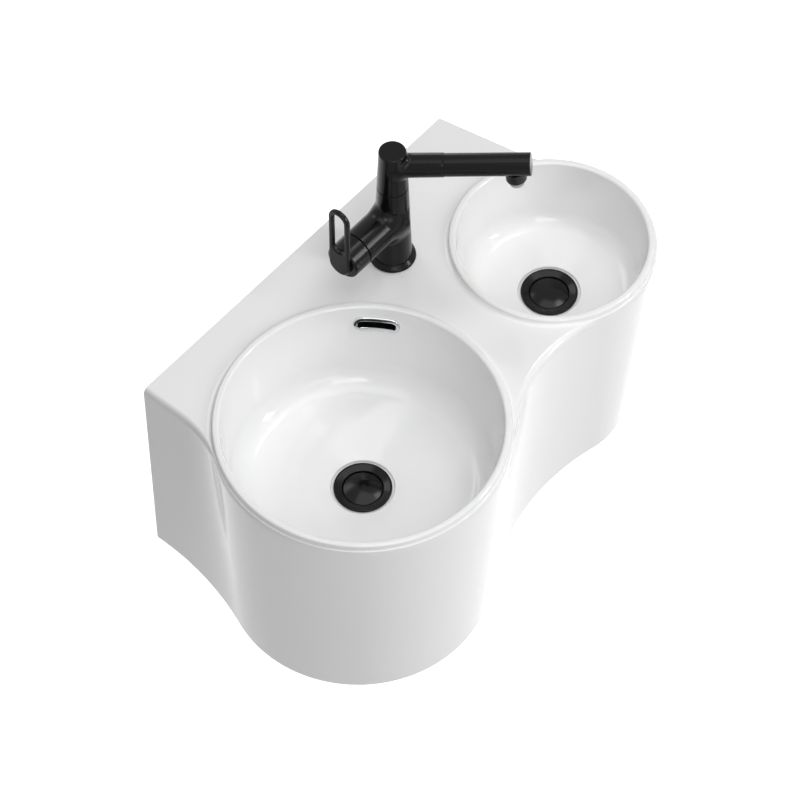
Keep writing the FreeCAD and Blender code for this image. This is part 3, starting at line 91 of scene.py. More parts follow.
backwards = Vector((math.sin(AZIMUTH) * math.cos(ELEVATION),
                    -math.cos(AZIMUTH) * math.cos(ELEVATION), math.sin(ELEVATION)))
camera_data = bpy.data.cameras.new("camera")
camera_data.lens = FOCAL_LENGTH
camera_data.sensor_width = 36
camera_data.clip_end = 50
camera = bpy.data.objects.new("camera", camera_data)
camera.location = AIM + backwards * DISTANCE
camera.rotation_euler = backwards.to_track_quat("Z", "Y").to_euler()
bpy.context.scene.collection.objects.link(camera)
bpy.context.scene.camera = camera
print("camera at", tuple(round(v, 3) for v in camera.location))

# %% [markdown]
# ## Colours and nodes
# A colour is written as its sRGB hex value, as a colour picker shows it, and turned into the linear values
# that the shader works with. One small function adds a node, sets it and links it, so a finish reads as a
# short list: first where the point lies, then the pattern, then what the pattern drives. A wave texture turns
# by 20 radians for each unit along its own axis, and by 10 for each unit of x, y and z when it is diagonal.

# %% Colours and nodes
def colour(code):
    """The linear colour of an sRGB hex value."""
    shares = [int(code[i:i + 2], 16) / 255 for i in (1, 3, 5)]
    return [v / 12.92 if v <= 0.04045 else ((v + 0.055) / 1.055) ** 2.4 for v in shares] + [1]


def add_node(finish, kind, inputs=None, feeds=None, **settings):
    """A node with its settings. Inputs are values, sockets or nodes; feeds is the shader socket it drives."""
    tree = finish.node_tree
    node = tree.nodes.new("ShaderNode" + kind)
    for name, value in settings.items():
        setattr(node, name, value)
    for name, value in (inputs or {}).items():
        if isinstance(value, bpy.types.Node):
            value = next(output for output in value.outputs if output.enabled)
        if isinstance(value, bpy.types.NodeSocket):
            tree.links.new(value, node.inputs[name])
        else:
            node.inputs[name].default_value = value
    if feeds:
        result = next(output for output in node.outputs if output.enabled)
        tree.links.new(result, tree.nodes["Principled BSDF"].inputs[feeds])
    return node


STRAIGHT = 20
SLANTED = 10 * math.sqrt(3)


def every(length):
    """The scale of a noise with features this many millimetres apart."""
    return 1000 / length


def bands_every(length, turn=STRAIGHT):
    """The scale of a wave with bands this many millimetres apart; turn is its radians for each unit."""
    return 2 * math.pi / turn * every(length)


def new_finish(name, sockets):
    """A material with constants on its shader, and the place on the piece that its patterns read."""
    finish = bpy.data.materials.new(name)
    finish.use_nodes = True
    for socket, value in sockets.items():
        finish.node_tree.nodes["Principled BSDF"].inputs[socket].default_value = value
    return finish, add_node(finish, "TexCoord").outputs["Object"]


print("pure mid grey is", round(colour("#808080")[0], 3), "in linear light")

# %% [markdown]
# ## Glazed vitreous china
# The basin is cast from slip, glazed and fired. The glaze is a glass skin about half a millimetre thick:
# very smooth, with slow waves where it has run, and sharp reflections that are strongest at grazing angles.
# Its white isn't quite even, a little warmer where the glaze lies thick.

# %% Glazed vitreous china
GLAZE_WAVE = 34
glazed_china, place = new_finish("glazed_vitreous_china", {"IOR": 1.52, "Specular IOR Level": 0.4})
cloud = add_node(glazed_china, "TexNoise", {"Vector": place, "Scale": every(GLAZE_WAVE) / 4, "Detail": 2})
run = add_node(glazed_china, "TexNoise", {"Vector": place, "Scale": every(GLAZE_WAVE), "Detail": 3})
add_node(glazed_china, "Mix", {0: cloud, 6: colour("#f0f1f1"), 7: colour("#f4f4f3")}, "Base Color",
         data_type="RGBA")
add_node(glazed_china, "MapRange", {"Value": run, "To Min": 0.05, "To Max": 0.11}, "Roughness")
add_node(glazed_china, "Bump", {"Height": run, "Distance": mm(0.05), "Strength": 0.5}, "Normal")
print("glaze waves:", GLAZE_WAVE, "mm")

# %% [markdown]
# ## Bare bisque
# The wall face and the foot stay unglazed, because the basin stands on its foot in the kiln. Fired bisque is
# matt and faintly cream, with the fine grain of the clay.

# %% Bare bisque
BISQUE_GRAIN = 0.9
bare_bisque, place = new_finish("bare_bisque_china", {"Roughness": 0.85})
stain = add_node(bare_bisque, "TexNoise", {"Vector": place, "Scale": every(25), "Detail": 5})
grain = add_node(bare_bisque, "TexNoise", {"Vector": place, "Scale": every(BISQUE_GRAIN), "Detail": 4})
add_node(bare_bisque, "Mix", {0: stain, 6: colour("#d9d4ca"), 7: colour("#e6e2da")}, "Base Color",
         data_type="RGBA")
add_node(bare_bisque, "Bump", {"Height": grain, "Distance": mm(0.08)}, "Normal")
print("clay grain:", BISQUE_GRAIN, "mm")

# %% [markdown]
# ## Satin black powder coat
# The tap is brass under a baked black powder: deep black with weak soft highlights, and the faint orange
# peel that powder leaves when it melts, pits about 0.8 mm apart and a hundredth of a millimetre deep. A
# lower specular level keeps the pale room from washing the black out.

# %% Satin black powder coat
POWDER_PEEL = 0.8
satin_black, place = new_finish("satin_black_powder_coat", {"IOR": 1.5, "Specular IOR Level": 0.16})
tone = add_node(satin_black, "TexNoise", {"Vector": place, "Scale": every(14), "Detail": 3})
bloom = add_node(satin_black, "TexNoise", {"Vector": place, "Scale": every(5)})
peel = add_node(satin_black, "TexNoise", {"Vector": place, "Scale": every(POWDER_PEEL)})
add_node(satin_black, "Mix", {0: tone, 6: colour("#0a0a0b"), 7: colour("#0f0f10")}, "Base Color",
         data_type="RGBA")
add_node(satin_black, "MapRange", {"Value": bloom, "To Min": 0.19, "To Max": 0.23}, "Roughness")
add_node(satin_black, "Bump", {"Height": peel, "Distance": mm(0.01), "Strength": 0.4}, "Normal")
print("powder peel:", POWDER_PEEL, "mm")

# %% [markdown]
# ## Glossy black lacquer
# The flanges and plugs of the two wastes are dipped in a black lacquer. It lies smoother than powder, so
# lamps show in it as small bright spots with clean edges.

# %% Glossy black lacquer
LACQUER_WAVE = 6
gloss_black, place = new_finish("glossy_black_lacquer", {"IOR": 1.5, "Specular IOR Level": 0.2})
sag = add_node(gloss_black, "TexNoise", {"Vector": place, "Scale": every(LACQUER_WAVE)})
add_node(gloss_black, "Mix", {0: sag, 6: colour("#08080a"), 7: colour("#0e0e0f")}, "Base Color",
         data_type="RGBA")
add_node(gloss_black, "MapRange", {"Value": sag, "To Min": 0.1, "To Max": 0.2}, "Roughness")
add_node(gloss_black, "Bump", {"Height": sag, "Distance": mm(0.006), "Strength": 0.3}, "Normal")
print("lacquer waves:", LACQUER_WAVE, "mm")

# %% [markdown]
# ## Bright chrome plate
# The overflow ring is chrome over polished metal: a mirror with a slight blue cast and a trace of polishing
# haze. A metal keeps the default IOR, and its colour is the colour of its reflections.

# %% Bright chrome plate
CHROME_HAZE = 3
bright_chrome, place = new_finish("bright_chrome_plate", {"Metallic": 1.0})
haze = add_node(bright_chrome, "TexNoise", {"Vector": place, "Scale": every(CHROME_HAZE), "Detail": 3})
add_node(bright_chrome, "Mix", {0: haze, 6: colour("#d3d6d9"), 7: colour("#dfe1e3")}, "Base Color",
         data_type="RGBA")
add_node(bright_chrome, "MapRange", {"Value": haze, "To Min": 0.04, "To Max": 0.1}, "Roughness")
add_node(bright_chrome, "Bump", {"Height": haze, "Distance": mm(0.002), "Strength": 0.3}, "Normal")
print("chrome haze:", CHROME_HAZE, "mm")

# %% [markdown]
# ## Turned brass
# The shank, its nut and the inner parts are turned from brass bar. A real cut leaves rings about 0.2 mm
# apart, which are too fine to show here, so shallow waves 5 mm apart stand in for them.

# %% Turned brass
TOOL_WAVE = 5.03
turned_brass, place = new_finish("turned_brass", {"Metallic": 1.0})
tarnish = add_node(turned_brass, "TexNoise", {"Vector": place, "Scale": every(12), "Detail": 4})
wear = add_node(turned_brass, "TexNoise", {"Vector": place, "Scale": every(4)})
cut = add_node(turned_brass, "TexWave", {"Vector": place, "Scale": bands_every(TOOL_WAVE), "Distortion": 0.4},
               bands_direction="Z")
add_node(turned_brass, "Mix", {0: tarnish, 6: colour("#c9a35a"), 7: colour("#d9b873")}, "Base Color",
         data_type="RGBA")
add_node(turned_brass, "MapRange", {"Value": wear, "To Min": 0.22, "To Max": 0.36}, "Roughness")
add_node(turned_brass, "Bump", {"Height": cut, "Distance": mm(0.01), "Strength": 0.5}, "Normal")
print("tool waves:", TOOL_WAVE, "mm")

# %% [markdown]
# ## Zinc-plated steel
# The washer under the deck is stamped from sheet and zinc plated, a dull grey metal with fine crystals. The
# two small screws of the tap have the same coat.

# %% Zinc-plated steel
ZINC_CRYSTAL = 0.7
plain_steel, place = new_finish("zinc_plated_steel", {"Metallic": 1.0})
bath = add_node(plain_steel, "TexNoise", {"Vector": place, "Scale": every(7), "Detail": 5})
crystal = add_node(plain_steel, "TexNoise", {"Vector": place, "Scale": every(ZINC_CRYSTAL), "Detail": 3})
add_node(plain_steel, "Mix", {0: bath, 6: colour("#a9adb1"), 7: colour("#c3c7ca")}, "Base Color",
         data_type="RGBA")
add_node(plain_steel, "MapRange", {"Value": bath, "To Min": 0.26, "To Max": 0.44}, "Roughness")
add_node(plain_steel, "Bump", {"Height": crystal, "Distance": mm(0.01), "Strength": 0.4}, "Normal")
print("zinc crystals:", ZINC_CRYSTAL, "mm")

# %% [markdown]
# ## Moulded rubber
# Washers and seals are moulded rubber, matt and dark, with the fine sand-blasted grain of the mould.

# %% Moulded rubber
RUBBER_GRAIN = 0.6
moulded_rubber, place = new_finish("moulded_black_rubber", {"Roughness": 0.7, "Specular IOR Level": 0.35})
bloom = add_node(moulded_rubber, "TexNoise", {"Vector": place, "Scale": every(6), "Detail": 4})
grain = add_node(moulded_rubber, "TexNoise", {"Vector": place, "Scale": every(RUBBER_GRAIN), "Detail": 3})
add_node(moulded_rubber, "Mix", {0: bloom, 6: colour("#18181a"), 7: colour("#242426")}, "Base Color",
         data_type="RGBA")
add_node(moulded_rubber, "Bump", {"Height": grain, "Distance": mm(0.03)}, "Normal")
print("rubber grain:", RUBBER_GRAIN, "mm")

# %% [markdown]
# ## Grey plastic and pale acetal
# Glides, cartridges and the nuts of the wastes are grey mouldings, and the jet insert is pale acetal, a
# waxy plastic that lets a little light in. It is a light grey, because between the black parts it looks
# white. Both have the faint grain of an eroded mould.

# %% Grey plastic and pale acetal
MOULD_GRAIN = 0.5
grey_plastic, place = new_finish("moulded_grey_plastic", {"Roughness": 0.45})
flow = add_node(grey_plastic, "TexNoise", {"Vector": place, "Scale": every(8), "Detail": 3})
grain = add_node(grey_plastic, "TexNoise", {"Vector": place, "Scale": every(MOULD_GRAIN)})
add_node(grey_plastic, "Mix", {0: flow, 6: colour("#5e6266"), 7: colour("#6d7175")}, "Base Color",
         data_type="RGBA")
add_node(grey_plastic, "Bump", {"Height": grain, "Distance": mm(0.012), "Strength": 0.6}, "Normal")

pale_acetal, place = new_finish("pale_acetal_moulding", {"Roughness": 0.32, "Subsurface Weight": 0.1})
flow = add_node(pale_acetal, "TexNoise", {"Vector": place, "Scale": every(5), "Detail": 3})
grain = add_node(pale_acetal, "TexNoise", {"Vector": place, "Scale": every(MOULD_GRAIN)})
add_node(pale_acetal, "Mix", {0: flow, 6: colour("#a4a5a5"), 7: colour("#b4b5b4")}, "Base Color",
         data_type="RGBA")
add_node(pale_acetal, "Bump", {"Height": grain, "Distance": mm(0.01), "Strength": 0.5}, "Normal")
print("mould grain:", MOULD_GRAIN, "mm")

# %% [markdown]
# ## Braided nylon
# The stretch of hose inside the arm has a braided cover. Two sets of diagonal bands cross and their product
# is the weave. Its bands lie 8.7 mm apart, which is several times as coarse as a real braid. The arm hides
# them.

# %% Braided nylon
BRAID = 8.7
braided_nylon, place = new_finish("braided_nylon_cover", {"Roughness": 0.5})
turned = add_node(braided_nylon, "Mapping", {"Vector": place, "Rotation": (0, 0, math.pi / 2)})
there = add_node(braided_nylon, "TexWave", {"Vector": place, "Scale": bands_every(BRAID, SLANTED)},
                 bands_direction="DIAGONAL")
back = add_node(braided_nylon, "TexWave", {"Vector": turned, "Scale": bands_every(BRAID, SLANTED)},
                bands_direction="DIAGONAL")
weave = add_node(braided_nylon, "Math", {0: there, 1: back}, operation="MULTIPLY")
add_node(braided_nylon, "Mix", {0: weave, 6: colour("#2a2c2e"), 7: colour("#8f9498")}, "Base Color",
         data_type="RGBA")
add_node(braided_nylon, "Bump", {"Height": weave, "Distance": mm(0.15)}, "Normal")
print("finishes:", len(bpy.data.materials))

# %% [markdown]
# ## Every CAD piece gets a finish
# Pieces that hide inside the tap or under the deck keep their CAD shape. They still get the finish of their
# own material, taken from the slot that the record names.

# %% Dress the CAD pieces
SLOT_FINISH = {"white_glaze": glazed_china, "chrome_plate": bright_chrome, "black_gloss": gloss_black,
               "black_satin": satin_black, "black_rubber": moulded_rubber, "grey_plastic": grey_plastic,
               "white_plastic": pale_acetal, "raw_brass": turned_brass, "plain_steel": plain_steel}
node_slot = {row["node"]: row["material_slot"] for row in frame["record"]["subparts"]}
body_of = {node: body for body, nodes in frame["record"]["behaviour"]["bodies"].items() for node in nodes}
for node, piece in frame["nodes"].items():
    piece.data.materials.clear()
    piece.data.materials.append(SLOT_FINISH[node_slot[node]])
print("slots in use:", sorted(set(node_slot.values())))

# %% [markdown]
# ## How the pieces are made
# Nearly everything on a basin is either turned or drawn along rings. A turned piece starts from one point
# that is extruded from corner to corner into a profile, as a potter's template, and spun round its axis. A
# ringed piece starts from a circle whose points are set on the first outline; its edge is extruded again
# and again, and each new ring is set on the next outline. Both ways give even quads that shade smoothly,
# with no cuts to clean up.

# %% Round a profile
ARC_STEP = math.radians(12)


def arc_points(first, last, radius, side, least=2):
    """Points on the short arc between two corners; side +1 puts its centre left of the way, -1 right."""
    first, last = Vector(first), Vector(last)
    chord = last - first
    rise = math.sqrt(max(radius * radius - chord.length_squared / 4, 0))
    centre = (first + last) / 2 + Vector((-chord.y, chord.x)).normalized() * rise * side
    begin = math.atan2(first.y - centre.y, first.x - centre.x)
    sweep = math.atan2(last.y - centre.y, last.x - centre.x) - begin
    sweep = (sweep + math.pi) % (2 * math.pi) - math.pi
    count = max(least, math.ceil(abs(sweep) / ARC_STEP))
    return [(centre.x + radius * math.cos(begin + sweep * i / count),
             centre.y + radius * math.sin(begin + sweep * i / count)) for i in range(count + 1)]


def rounded(corners, closed=False):
    """The corners (radius, height) with those that have a third value rounded off by that radius."""
    path = []
    for index, corner in enumerate(corners):
        here = Vector(corner[:2])
        inner = closed or 0 < index < len(corners) - 1
        if len(corner) == 2 or not inner:
            path.append(tuple(here))
            continue
        before = (Vector(corners[index - 1][:2]) - here).normalized()
        after = (Vector(corners[(index + 1) % len(corners)][:2]) - here).normalized()
        half = before.angle(after) / 2
        run = corner[2] / math.tan(half)
        turn = before.x * after.y - before.y * after.x
        path += arc_points(here + before * run, here + after * run, corner[2], -1 if turn > 0 else 1)
    return path


print("a rounded corner has", len(rounded([(0, 0), (5, 0, 1), (5, 5)])), "points")

# %% Select and shade
SHARP = math.radians(32)
SAME_PLACE = 1e-6


def select_nothing():
    """Leave edit mode with no object selected."""
    if bpy.context.object and bpy.context.object.mode == "EDIT":
        bpy.ops.object.mode_set(mode="OBJECT")
    bpy.ops.object.select_all(action="DESELECT")


def only(piece):
    """Make this the one selected and active object."""
    select_nothing()
    piece.select_set(True)
    bpy.context.view_layer.objects.active = piece


def apply_modifier(piece, kind, **settings):
    """Add a modifier, set it and apply it at once."""
    only(piece)
    bpy.ops.object.modifier_add(type=kind)
    modifier = piece.modifiers[-1]
    for name, value in settings.items():
        setattr(modifier, name, value)
    bpy.ops.object.modifier_apply(modifier=modifier.name)


def smooth(piece, weighted=True):
    """Shade smoothly, with crisp edges where faces meet at a sharp angle and flat faces kept flat."""
    only(piece)
    bpy.ops.object.shade_smooth_by_angle(angle=SHARP)
    if weighted:
        apply_modifier(piece, "WEIGHTED_NORMAL", keep_sharp=True)
    return piece


def close_mesh(piece, shaded):
    """Merge double points, turn all faces outwards and leave edit mode."""
    bpy.ops.mesh.select_all(action="SELECT")
    bpy.ops.mesh.remove_doubles(threshold=SAME_PLACE)
    bpy.ops.mesh.normals_make_consistent(inside=False)
    bpy.ops.mesh.select_mode(type="VERT")
    bpy.ops.object.mode_set(mode="OBJECT")
    return smooth(piece) if shaded else piece


print("edges stay crisp above", round(math.degrees(SHARP)), "degrees")

# %% Turn a piece
AROUND = 96
FINE = 128
FINEST = 192


def turned_piece(name, corners, place, along=UP, steps=AROUND, closed=False, shaded=True):
    """Extrude one point from corner to corner, (radius, height) in millimetres, and spin the profile."""
    path = rounded(corners, closed)
    if closed:
        path.append(path[0])
    along = Vector(along).normalized()
    across = along.orthogonal().normalized()
    points = [place + across * mm(radius) + along * mm(height) for radius, height in path]
    select_nothing()
    bpy.ops.mesh.primitive_plane_add(size=mm(1), location=(0, 0, 0))
    piece = bpy.context.object
    piece.name = name
    bpy.ops.object.mode_set(mode="EDIT")
    bpy.ops.mesh.select_all(action="SELECT")
    bpy.ops.mesh.merge(type="CENTER")
    bpy.ops.transform.translate(value=points[0])
    for first, last in zip(points, points[1:]):
        bpy.ops.mesh.extrude_region_move(TRANSFORM_OT_translate={"value": last - first})
    bpy.ops.mesh.select_all(action="SELECT")
    bpy.ops.mesh.spin(steps=steps, angle=2 * math.pi, center=place, axis=along)
    return close_mesh(piece, shaded)


def rod(low, high, low_radius, high_radius, place, along=UP, steps=AROUND):
    """A plain round rod or cone between two heights, as a blank or as a cutter."""
    corners = [(0, low), (low_radius, low), (high_radius, high), (0, high)]
    return turned_piece("rod", corners, place, along, steps, shaded=False)


print("a turned piece has", AROUND, "steps round its axis")

# %% Draw a piece along rings
def set_ring(mesh, before, ring):
    """Move the selected points, which lie on the ring before, to the same places in the next ring."""
    order = {tuple(round(v, 7) for v in point): index for index, point in enumerate(before)}
    for vertex in mesh.verts:
        if vertex.select:
            vertex.co = ring[order[tuple(round(v, 7) for v in vertex.co)]]


def ringed_piece(name, rings, closed=False, shaded=True):
    """Extrude a loop of points from ring to ring. closed joins the last ring to the first."""
    rings = [[Vector(point) for point in ring] for ring in rings]
    select_nothing()
    fill = "NOTHING" if closed else "NGON"
    bpy.ops.mesh.primitive_circle_add(vertices=len(rings[0]), radius=1, fill_type=fill)
    piece = bpy.context.object
    piece.name = name
    for vertex, point in zip(piece.data.vertices, rings[0]):
        vertex.co = point
    bpy.ops.object.mode_set(mode="EDIT")
    bpy.ops.mesh.select_mode(type="EDGE")
    bpy.ops.mesh.select_all(action="SELECT")
    loops = rings + [rings[0]] if closed else rings
    before = [vertex.co.copy() for vertex in bmesh.from_edit_mesh(piece.data).verts]
    for ring in loops[1:]:
        bpy.ops.mesh.extrude_edges_move()
        edit = bmesh.from_edit_mesh(piece.data)
        set_ring(edit, before, ring)
        bmesh.update_edit_mesh(piece.data)
        before = ring
    if not closed:
        bpy.ops.mesh.edge_face_add()
    return close_mesh(piece, shaded)


def quarter_turns(steps):
    """Angles from nothing to a right angle, for the rings of a rounding."""
    return [math.pi / 2 * i / steps for i in range(steps + 1)]


print("a quarter turn in 5 steps:", [round(math.degrees(turn)) for turn in quarter_turns(5)])

# %% Join, cut and hand over
def joined(name, *pieces):
    """Several meshes as one piece."""
    only(pieces[0])
    for piece in pieces[1:]:
        piece.select_set(True)
    bpy.ops.object.join()
    pieces[0].name = name
    return pieces[0]


def use_up(piece, other, operation):
    """Change a piece by another one, which is gone afterwards."""
    apply_modifier(piece, "BOOLEAN", operation=operation, solver="EXACT", object=other)
    bpy.data.objects.remove(other)


def cut_away(piece, cutter):
    """Take the cutter's shape out of the piece."""
    use_up(piece, cutter, "DIFFERENCE")


def hand_over(piece, node, finish=None):
    """Let a piece stand for its CAD node, on its body, in the finish of its slot or in one of its own."""
    piece.data.materials.clear()
    piece.data.materials.append(finish or SLOT_FINISH[node_slot[node]])
    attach(piece, body_of[node])
    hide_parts(node)
    print(piece.name, "has", len(piece.data.polygons), "faces")


print("bodies:", sorted(set(body_of.values())))

# %% [markdown]
# ## The basin's outline
# Seen from above the basin is a chain of arcs and straight runs that flow into each other without a corner:
# a straight left end, a small flare, three quarters of the big bowl, a hollow curve, the small bowl,
# another flare, and a right end that leans out. A flare is the circle that touches the end line at a known
# point and also touches the bowl, so its radius follows from those two. The same chain is drawn at every
# height with other values.

# %% Draw the outline at one height
BIG_SHELL = 166.5
SMALL_SHELL = 119.8
SHOULDER = {"big": (BIG, BIG_SHELL), "small": (SMALL, SMALL_SHELL), "front": 200, "run": 110, "splay": 20,
            "left_run": 50}
SOLE = {"big": (Vector((-140.5, -209.5)), 154), "small": (SMALL, 98), "front": 300, "run": 144, "splay": 17,
        "left_run": 10}
LEFT_END = -255.5
BACK_RIGHT = 256.4
COUNTS = {"left": 6, "left_flare": 22, "big": 84, "front": 44, "small": 62, "right_flare": 20, "right": 10,
          "back": 24}


def arc_way(middle, radius, first, last, count, left_turn=True):
    """Points from first to last round a circle, without the last one."""
    begin = math.atan2(first.y - middle.y, first.x - middle.x)
    end = math.atan2(last.y - middle.y, last.x - middle.x)
    if left_turn and end < begin:
        end += 2 * math.pi
    if not left_turn and end > begin:
        end -= 2 * math.pi
    return [middle + Vector((math.cos(a), math.sin(a))) * radius
            for a in (begin + (end - begin) * i / count for i in range(count))]


def straight_way(first, last, count):
    """Points from first to last along a line, without the last one."""
    return [first.lerp(last, i / count) for i in range(count)]


def basin_outline(form, inset=0, ends=0, back=0):
    """The outline in millimetres, anticlockwise from the back left. ends draws in the two end faces."""
    (big, big_radius), (small, small_radius) = form["big"], form["small"]
    big_radius, small_radius, hollow = big_radius - inset, small_radius - inset, form["front"] + inset
    run, splay, side = form["run"], form["splay"], ends + inset
    slant = math.hypot(run, splay)
    low_left = Vector((LEFT_END + side, -form["left_run"]))
    low_right = Vector((BACK_RIGHT + splay - run * side / slant, -run - splay * side / slant))
    back_left = Vector((LEFT_END + side, -back))
    back_right = Vector((BACK_RIGHT - slant * side / run + splay * back / run, -back))

    def flare(point, outwards, middle, radius):
        """Radius of the circle that touches an end at this point and also touches a bowl."""
        gap = point - middle
        return (gap.dot(gap) - radius * radius) / (2 * (radius - outwards.dot(gap)))

    out_right = Vector((run, splay)).normalized()
    left_flare = flare(low_left, Vector((-1, 0)), big, big_radius)
    right_flare = flare(low_right, out_right, small, small_radius)
    left_middle = low_left - Vector((left_flare, 0))
    right_middle = low_right + out_right * right_flare
    span = small - big
    reach_big, reach_small = big_radius + hollow, small_radius + hollow
    along = (reach_big ** 2 - reach_small ** 2 + span.length_squared) / (2 * span.length)
    line = span.normalized()
    front_middle = big + line * along + Vector((line.y, -line.x)) * math.sqrt(reach_big ** 2 - along ** 2)
    big_start = big + (left_middle - big).normalized() * big_radius
    big_end = big + (front_middle - big).normalized() * big_radius
    small_start = small + (front_middle - small).normalized() * small_radius
    small_end = small + (right_middle - small).normalized() * small_radius
    return (straight_way(back_left, low_left, COUNTS["left"])
            + arc_way(left_middle, left_flare, low_left, big_start, COUNTS["left_flare"], left_turn=False)
            + arc_way(big, big_radius, big_start, big_end, COUNTS["big"])
            + arc_way(front_middle, hollow, big_end, small_start, COUNTS["front"], left_turn=False)
            + arc_way(small, small_radius, small_start, small_end, COUNTS["small"])
            + arc_way(right_middle, right_flare, small_end, low_right, COUNTS["right_flare"], left_turn=False)
            + straight_way(low_right, back_right, COUNTS["right"])
            + straight_way(back_right, back_left, COUNTS["back"]))


def at_height(points, height):
    """Outline points as places in metres."""
    return [mm(point.x, point.y, height) for point in points]


print("points round the outline:", len(basin_outline(SHOULDER)))

# %% [markdown]
# ## Skirt and deck
# The body of the basin is a box without a bottom. It is drawn along rings: from the ceiling of the hollow
# down the inner walls, round the foot, up the outer walls and over the rounded edge of the deck. The walls
# lean in towards the foot, so each ring lies between the outline at the shoulder and the one at the sole.
# The rounding of the deck edge is broad at the ends and fades where the walls run straight up into the
# rims.

# %% Skirt and deck
EDGE_ROUND = 9
EDGE_FADE = 1.2
END_ROUND = 5
FRONT_TOP = 150
FOOT_ROUND = 1.5


def blended(first, last, share):
    """A ring between two rings with the same points."""
    return [a.lerp(b, share) for a, b in zip(first, last)]


ceiling = at_height(basin_outline(SHOULDER, inset=WALL, back=WALL), CEILING)
inner_foot = at_height(basin_outline(SOLE, inset=WALL, back=WALL), FOOT)
outer_foot = at_height(basin_outline(SOLE), FOOT)
shoulder = at_height(basin_outline(SHOULDER), DECK - EDGE_ROUND)
rings = [blended(ceiling, inner_foot, i / 6) for i in range(6)] + [inner_foot]
for turn in quarter_turns(4)[1:]:
    draw_in = FOOT_ROUND * (1 - math.sin(turn))
    rings.append(at_height(basin_outline(SOLE, inset=draw_in), FOOT + FOOT_ROUND * (1 - math.cos(turn))))
rings += [blended(outer_foot, shoulder, step / 8) for step in range(1, 9)]
for turn in quarter_turns(8)[1:]:
    share = 1 - math.cos(turn)
    edge = dict(SHOULDER, front=SHOULDER["front"] - (SHOULDER["front"] - FRONT_TOP) * share)
    outline = basin_outline(edge, inset=EDGE_FADE * share, ends=END_ROUND * share)
    rings.append(at_height(outline, DECK - EDGE_ROUND * (1 - math.sin(turn))))
basin = ringed_piece("basin_glaze", rings, shaded=False)
print("rings:", len(rings), "faces:", len(basin.data.polygons))

# %% [markdown]
# ## Openings in the basin
# While the clay is still soft, the maker cuts out the places for the bowls, the tap and the wall bolts, and
# a broad gap in the wall plate that lets the pipes through. Each opening is a cutter of its own, taken away
# from the body.

# %% Cut the openings
BIG_CUT = 160
SMALL_CUT = 113.5
TAP_HOLE = 17.5
BOLT_HOLE = 7
BOLT_SPACING = 280
GAP_HALF = 150
GAP_TOP = -84
GAP_BEND = 20
PAST = 1
OVERRUN = 5
for middle, radius, steps in ((BIG, BIG_CUT, FINEST), (SMALL, SMALL_CUT, FINEST), (TAP, TAP_HOLE, 64)):
    cut_away(basin, rod(CEILING - PAST, DECK + PAST, radius, radius, mm(middle.x, middle.y, 0), steps=steps))
for side in (-BOLT_SPACING / 2, BOLT_SPACING / 2):
    cut_away(basin, rod(-OVERRUN, WALL + OVERRUN, BOLT_HOLE, BOLT_HOLE, mm(side, 0, 0), FORWARDS, 48))
turns = quarter_turns(8)
bend, reach, level = GAP_BEND, GAP_HALF - GAP_BEND, GAP_TOP - GAP_BEND
gap_outline = [(-GAP_HALF, FOOT - OVERRUN), (GAP_HALF, FOOT - OVERRUN)]
gap_outline += [(reach + bend * math.cos(turn), level + bend * math.sin(turn)) for turn in turns]
gap_outline += [(-reach - bend * math.sin(turn), level + bend * math.cos(turn)) for turn in turns]
cut_away(basin, ringed_piece("pipe_gap_cutter", [[mm(x, y, z) for x, z in gap_outline]
                                                 for y in (OVERRUN, -WALL - OVERRUN)], shaded=False))
print("faces with openings:", len(basin.data.polygons))

# %% [markdown]
# ## The two bowls
# A bowl is turned: from the drain hole over the recess for the waste, along the gently sloping floor, round
# the soft corner, up the nearly upright wall and over the rolled rim, then down the outside and back
# underneath. Where the deck is broad, the rim meets it in a soft cove. Where the skirt runs straight up,
# there is no room for one, so the cove narrows there.

# %% Turn the bowls
BIG_BOWL = {"inside": 156, "rim": 163.5, "shell": BIG_SHELL, "corner": 143.5, "corner_depth": 112,
            "depth": 125.5, "bend": 30}
SMALL_BOWL = {"inside": 109, "rim": 116.8, "shell": SMALL_SHELL, "corner": 99.5, "corner_depth": 87,
              "depth": 98.4, "bend": 24}
DRAIN_HOLE = 26
DRAIN_BED = 3.5
DRAIN_RING = 32.5
COVE = 6
COVE_LEAST = 1.65
COVE_GAP = 0.15
NO_WIDTH = 1e-4
RIM_BEND = 2.5
RIM_PROUD = RIM - DECK


def cove_profile(rim):
    """From the outside of the rim down to the deck, upright at the top and level at the deck."""
    return [(rim + COVE * (1 - math.cos(turn)), -RIM_BEND - (RIM_PROUD - RIM_BEND) * math.sin(turn))
            for turn in quarter_turns(8)]


def turn_bowl(name, middle, bowl):
    """A bowl with its rim and shell; heights are measured down from the rim."""
    rim, corner, corner_depth, depth = bowl["rim"], bowl["corner"], bowl["corner_depth"], bowl["depth"]
    return turned_piece(name, [
        (DRAIN_HOLE, -depth - DRAIN_RING), (DRAIN_HOLE, -depth - DRAIN_BED), (36, -depth - DRAIN_BED, 0.6),
        (36, -depth - 0.2, 1.2), (corner, -corner_depth, bowl["bend"]), (bowl["inside"], 0, 3),
        (rim, 0, RIM_BEND)] + cove_profile(rim) + [
        (rim + COVE, -RIM_PROUD - 2.5), (bowl["shell"] - 2, -13), (corner + 11, 10 - corner_depth),
        (corner - 8, -corner_depth - 15), (46, -depth - 15), (46, -depth - DRAIN_RING)],
        mm(middle.x, middle.y, RIM), steps=FINEST, closed=True, shaded=False)


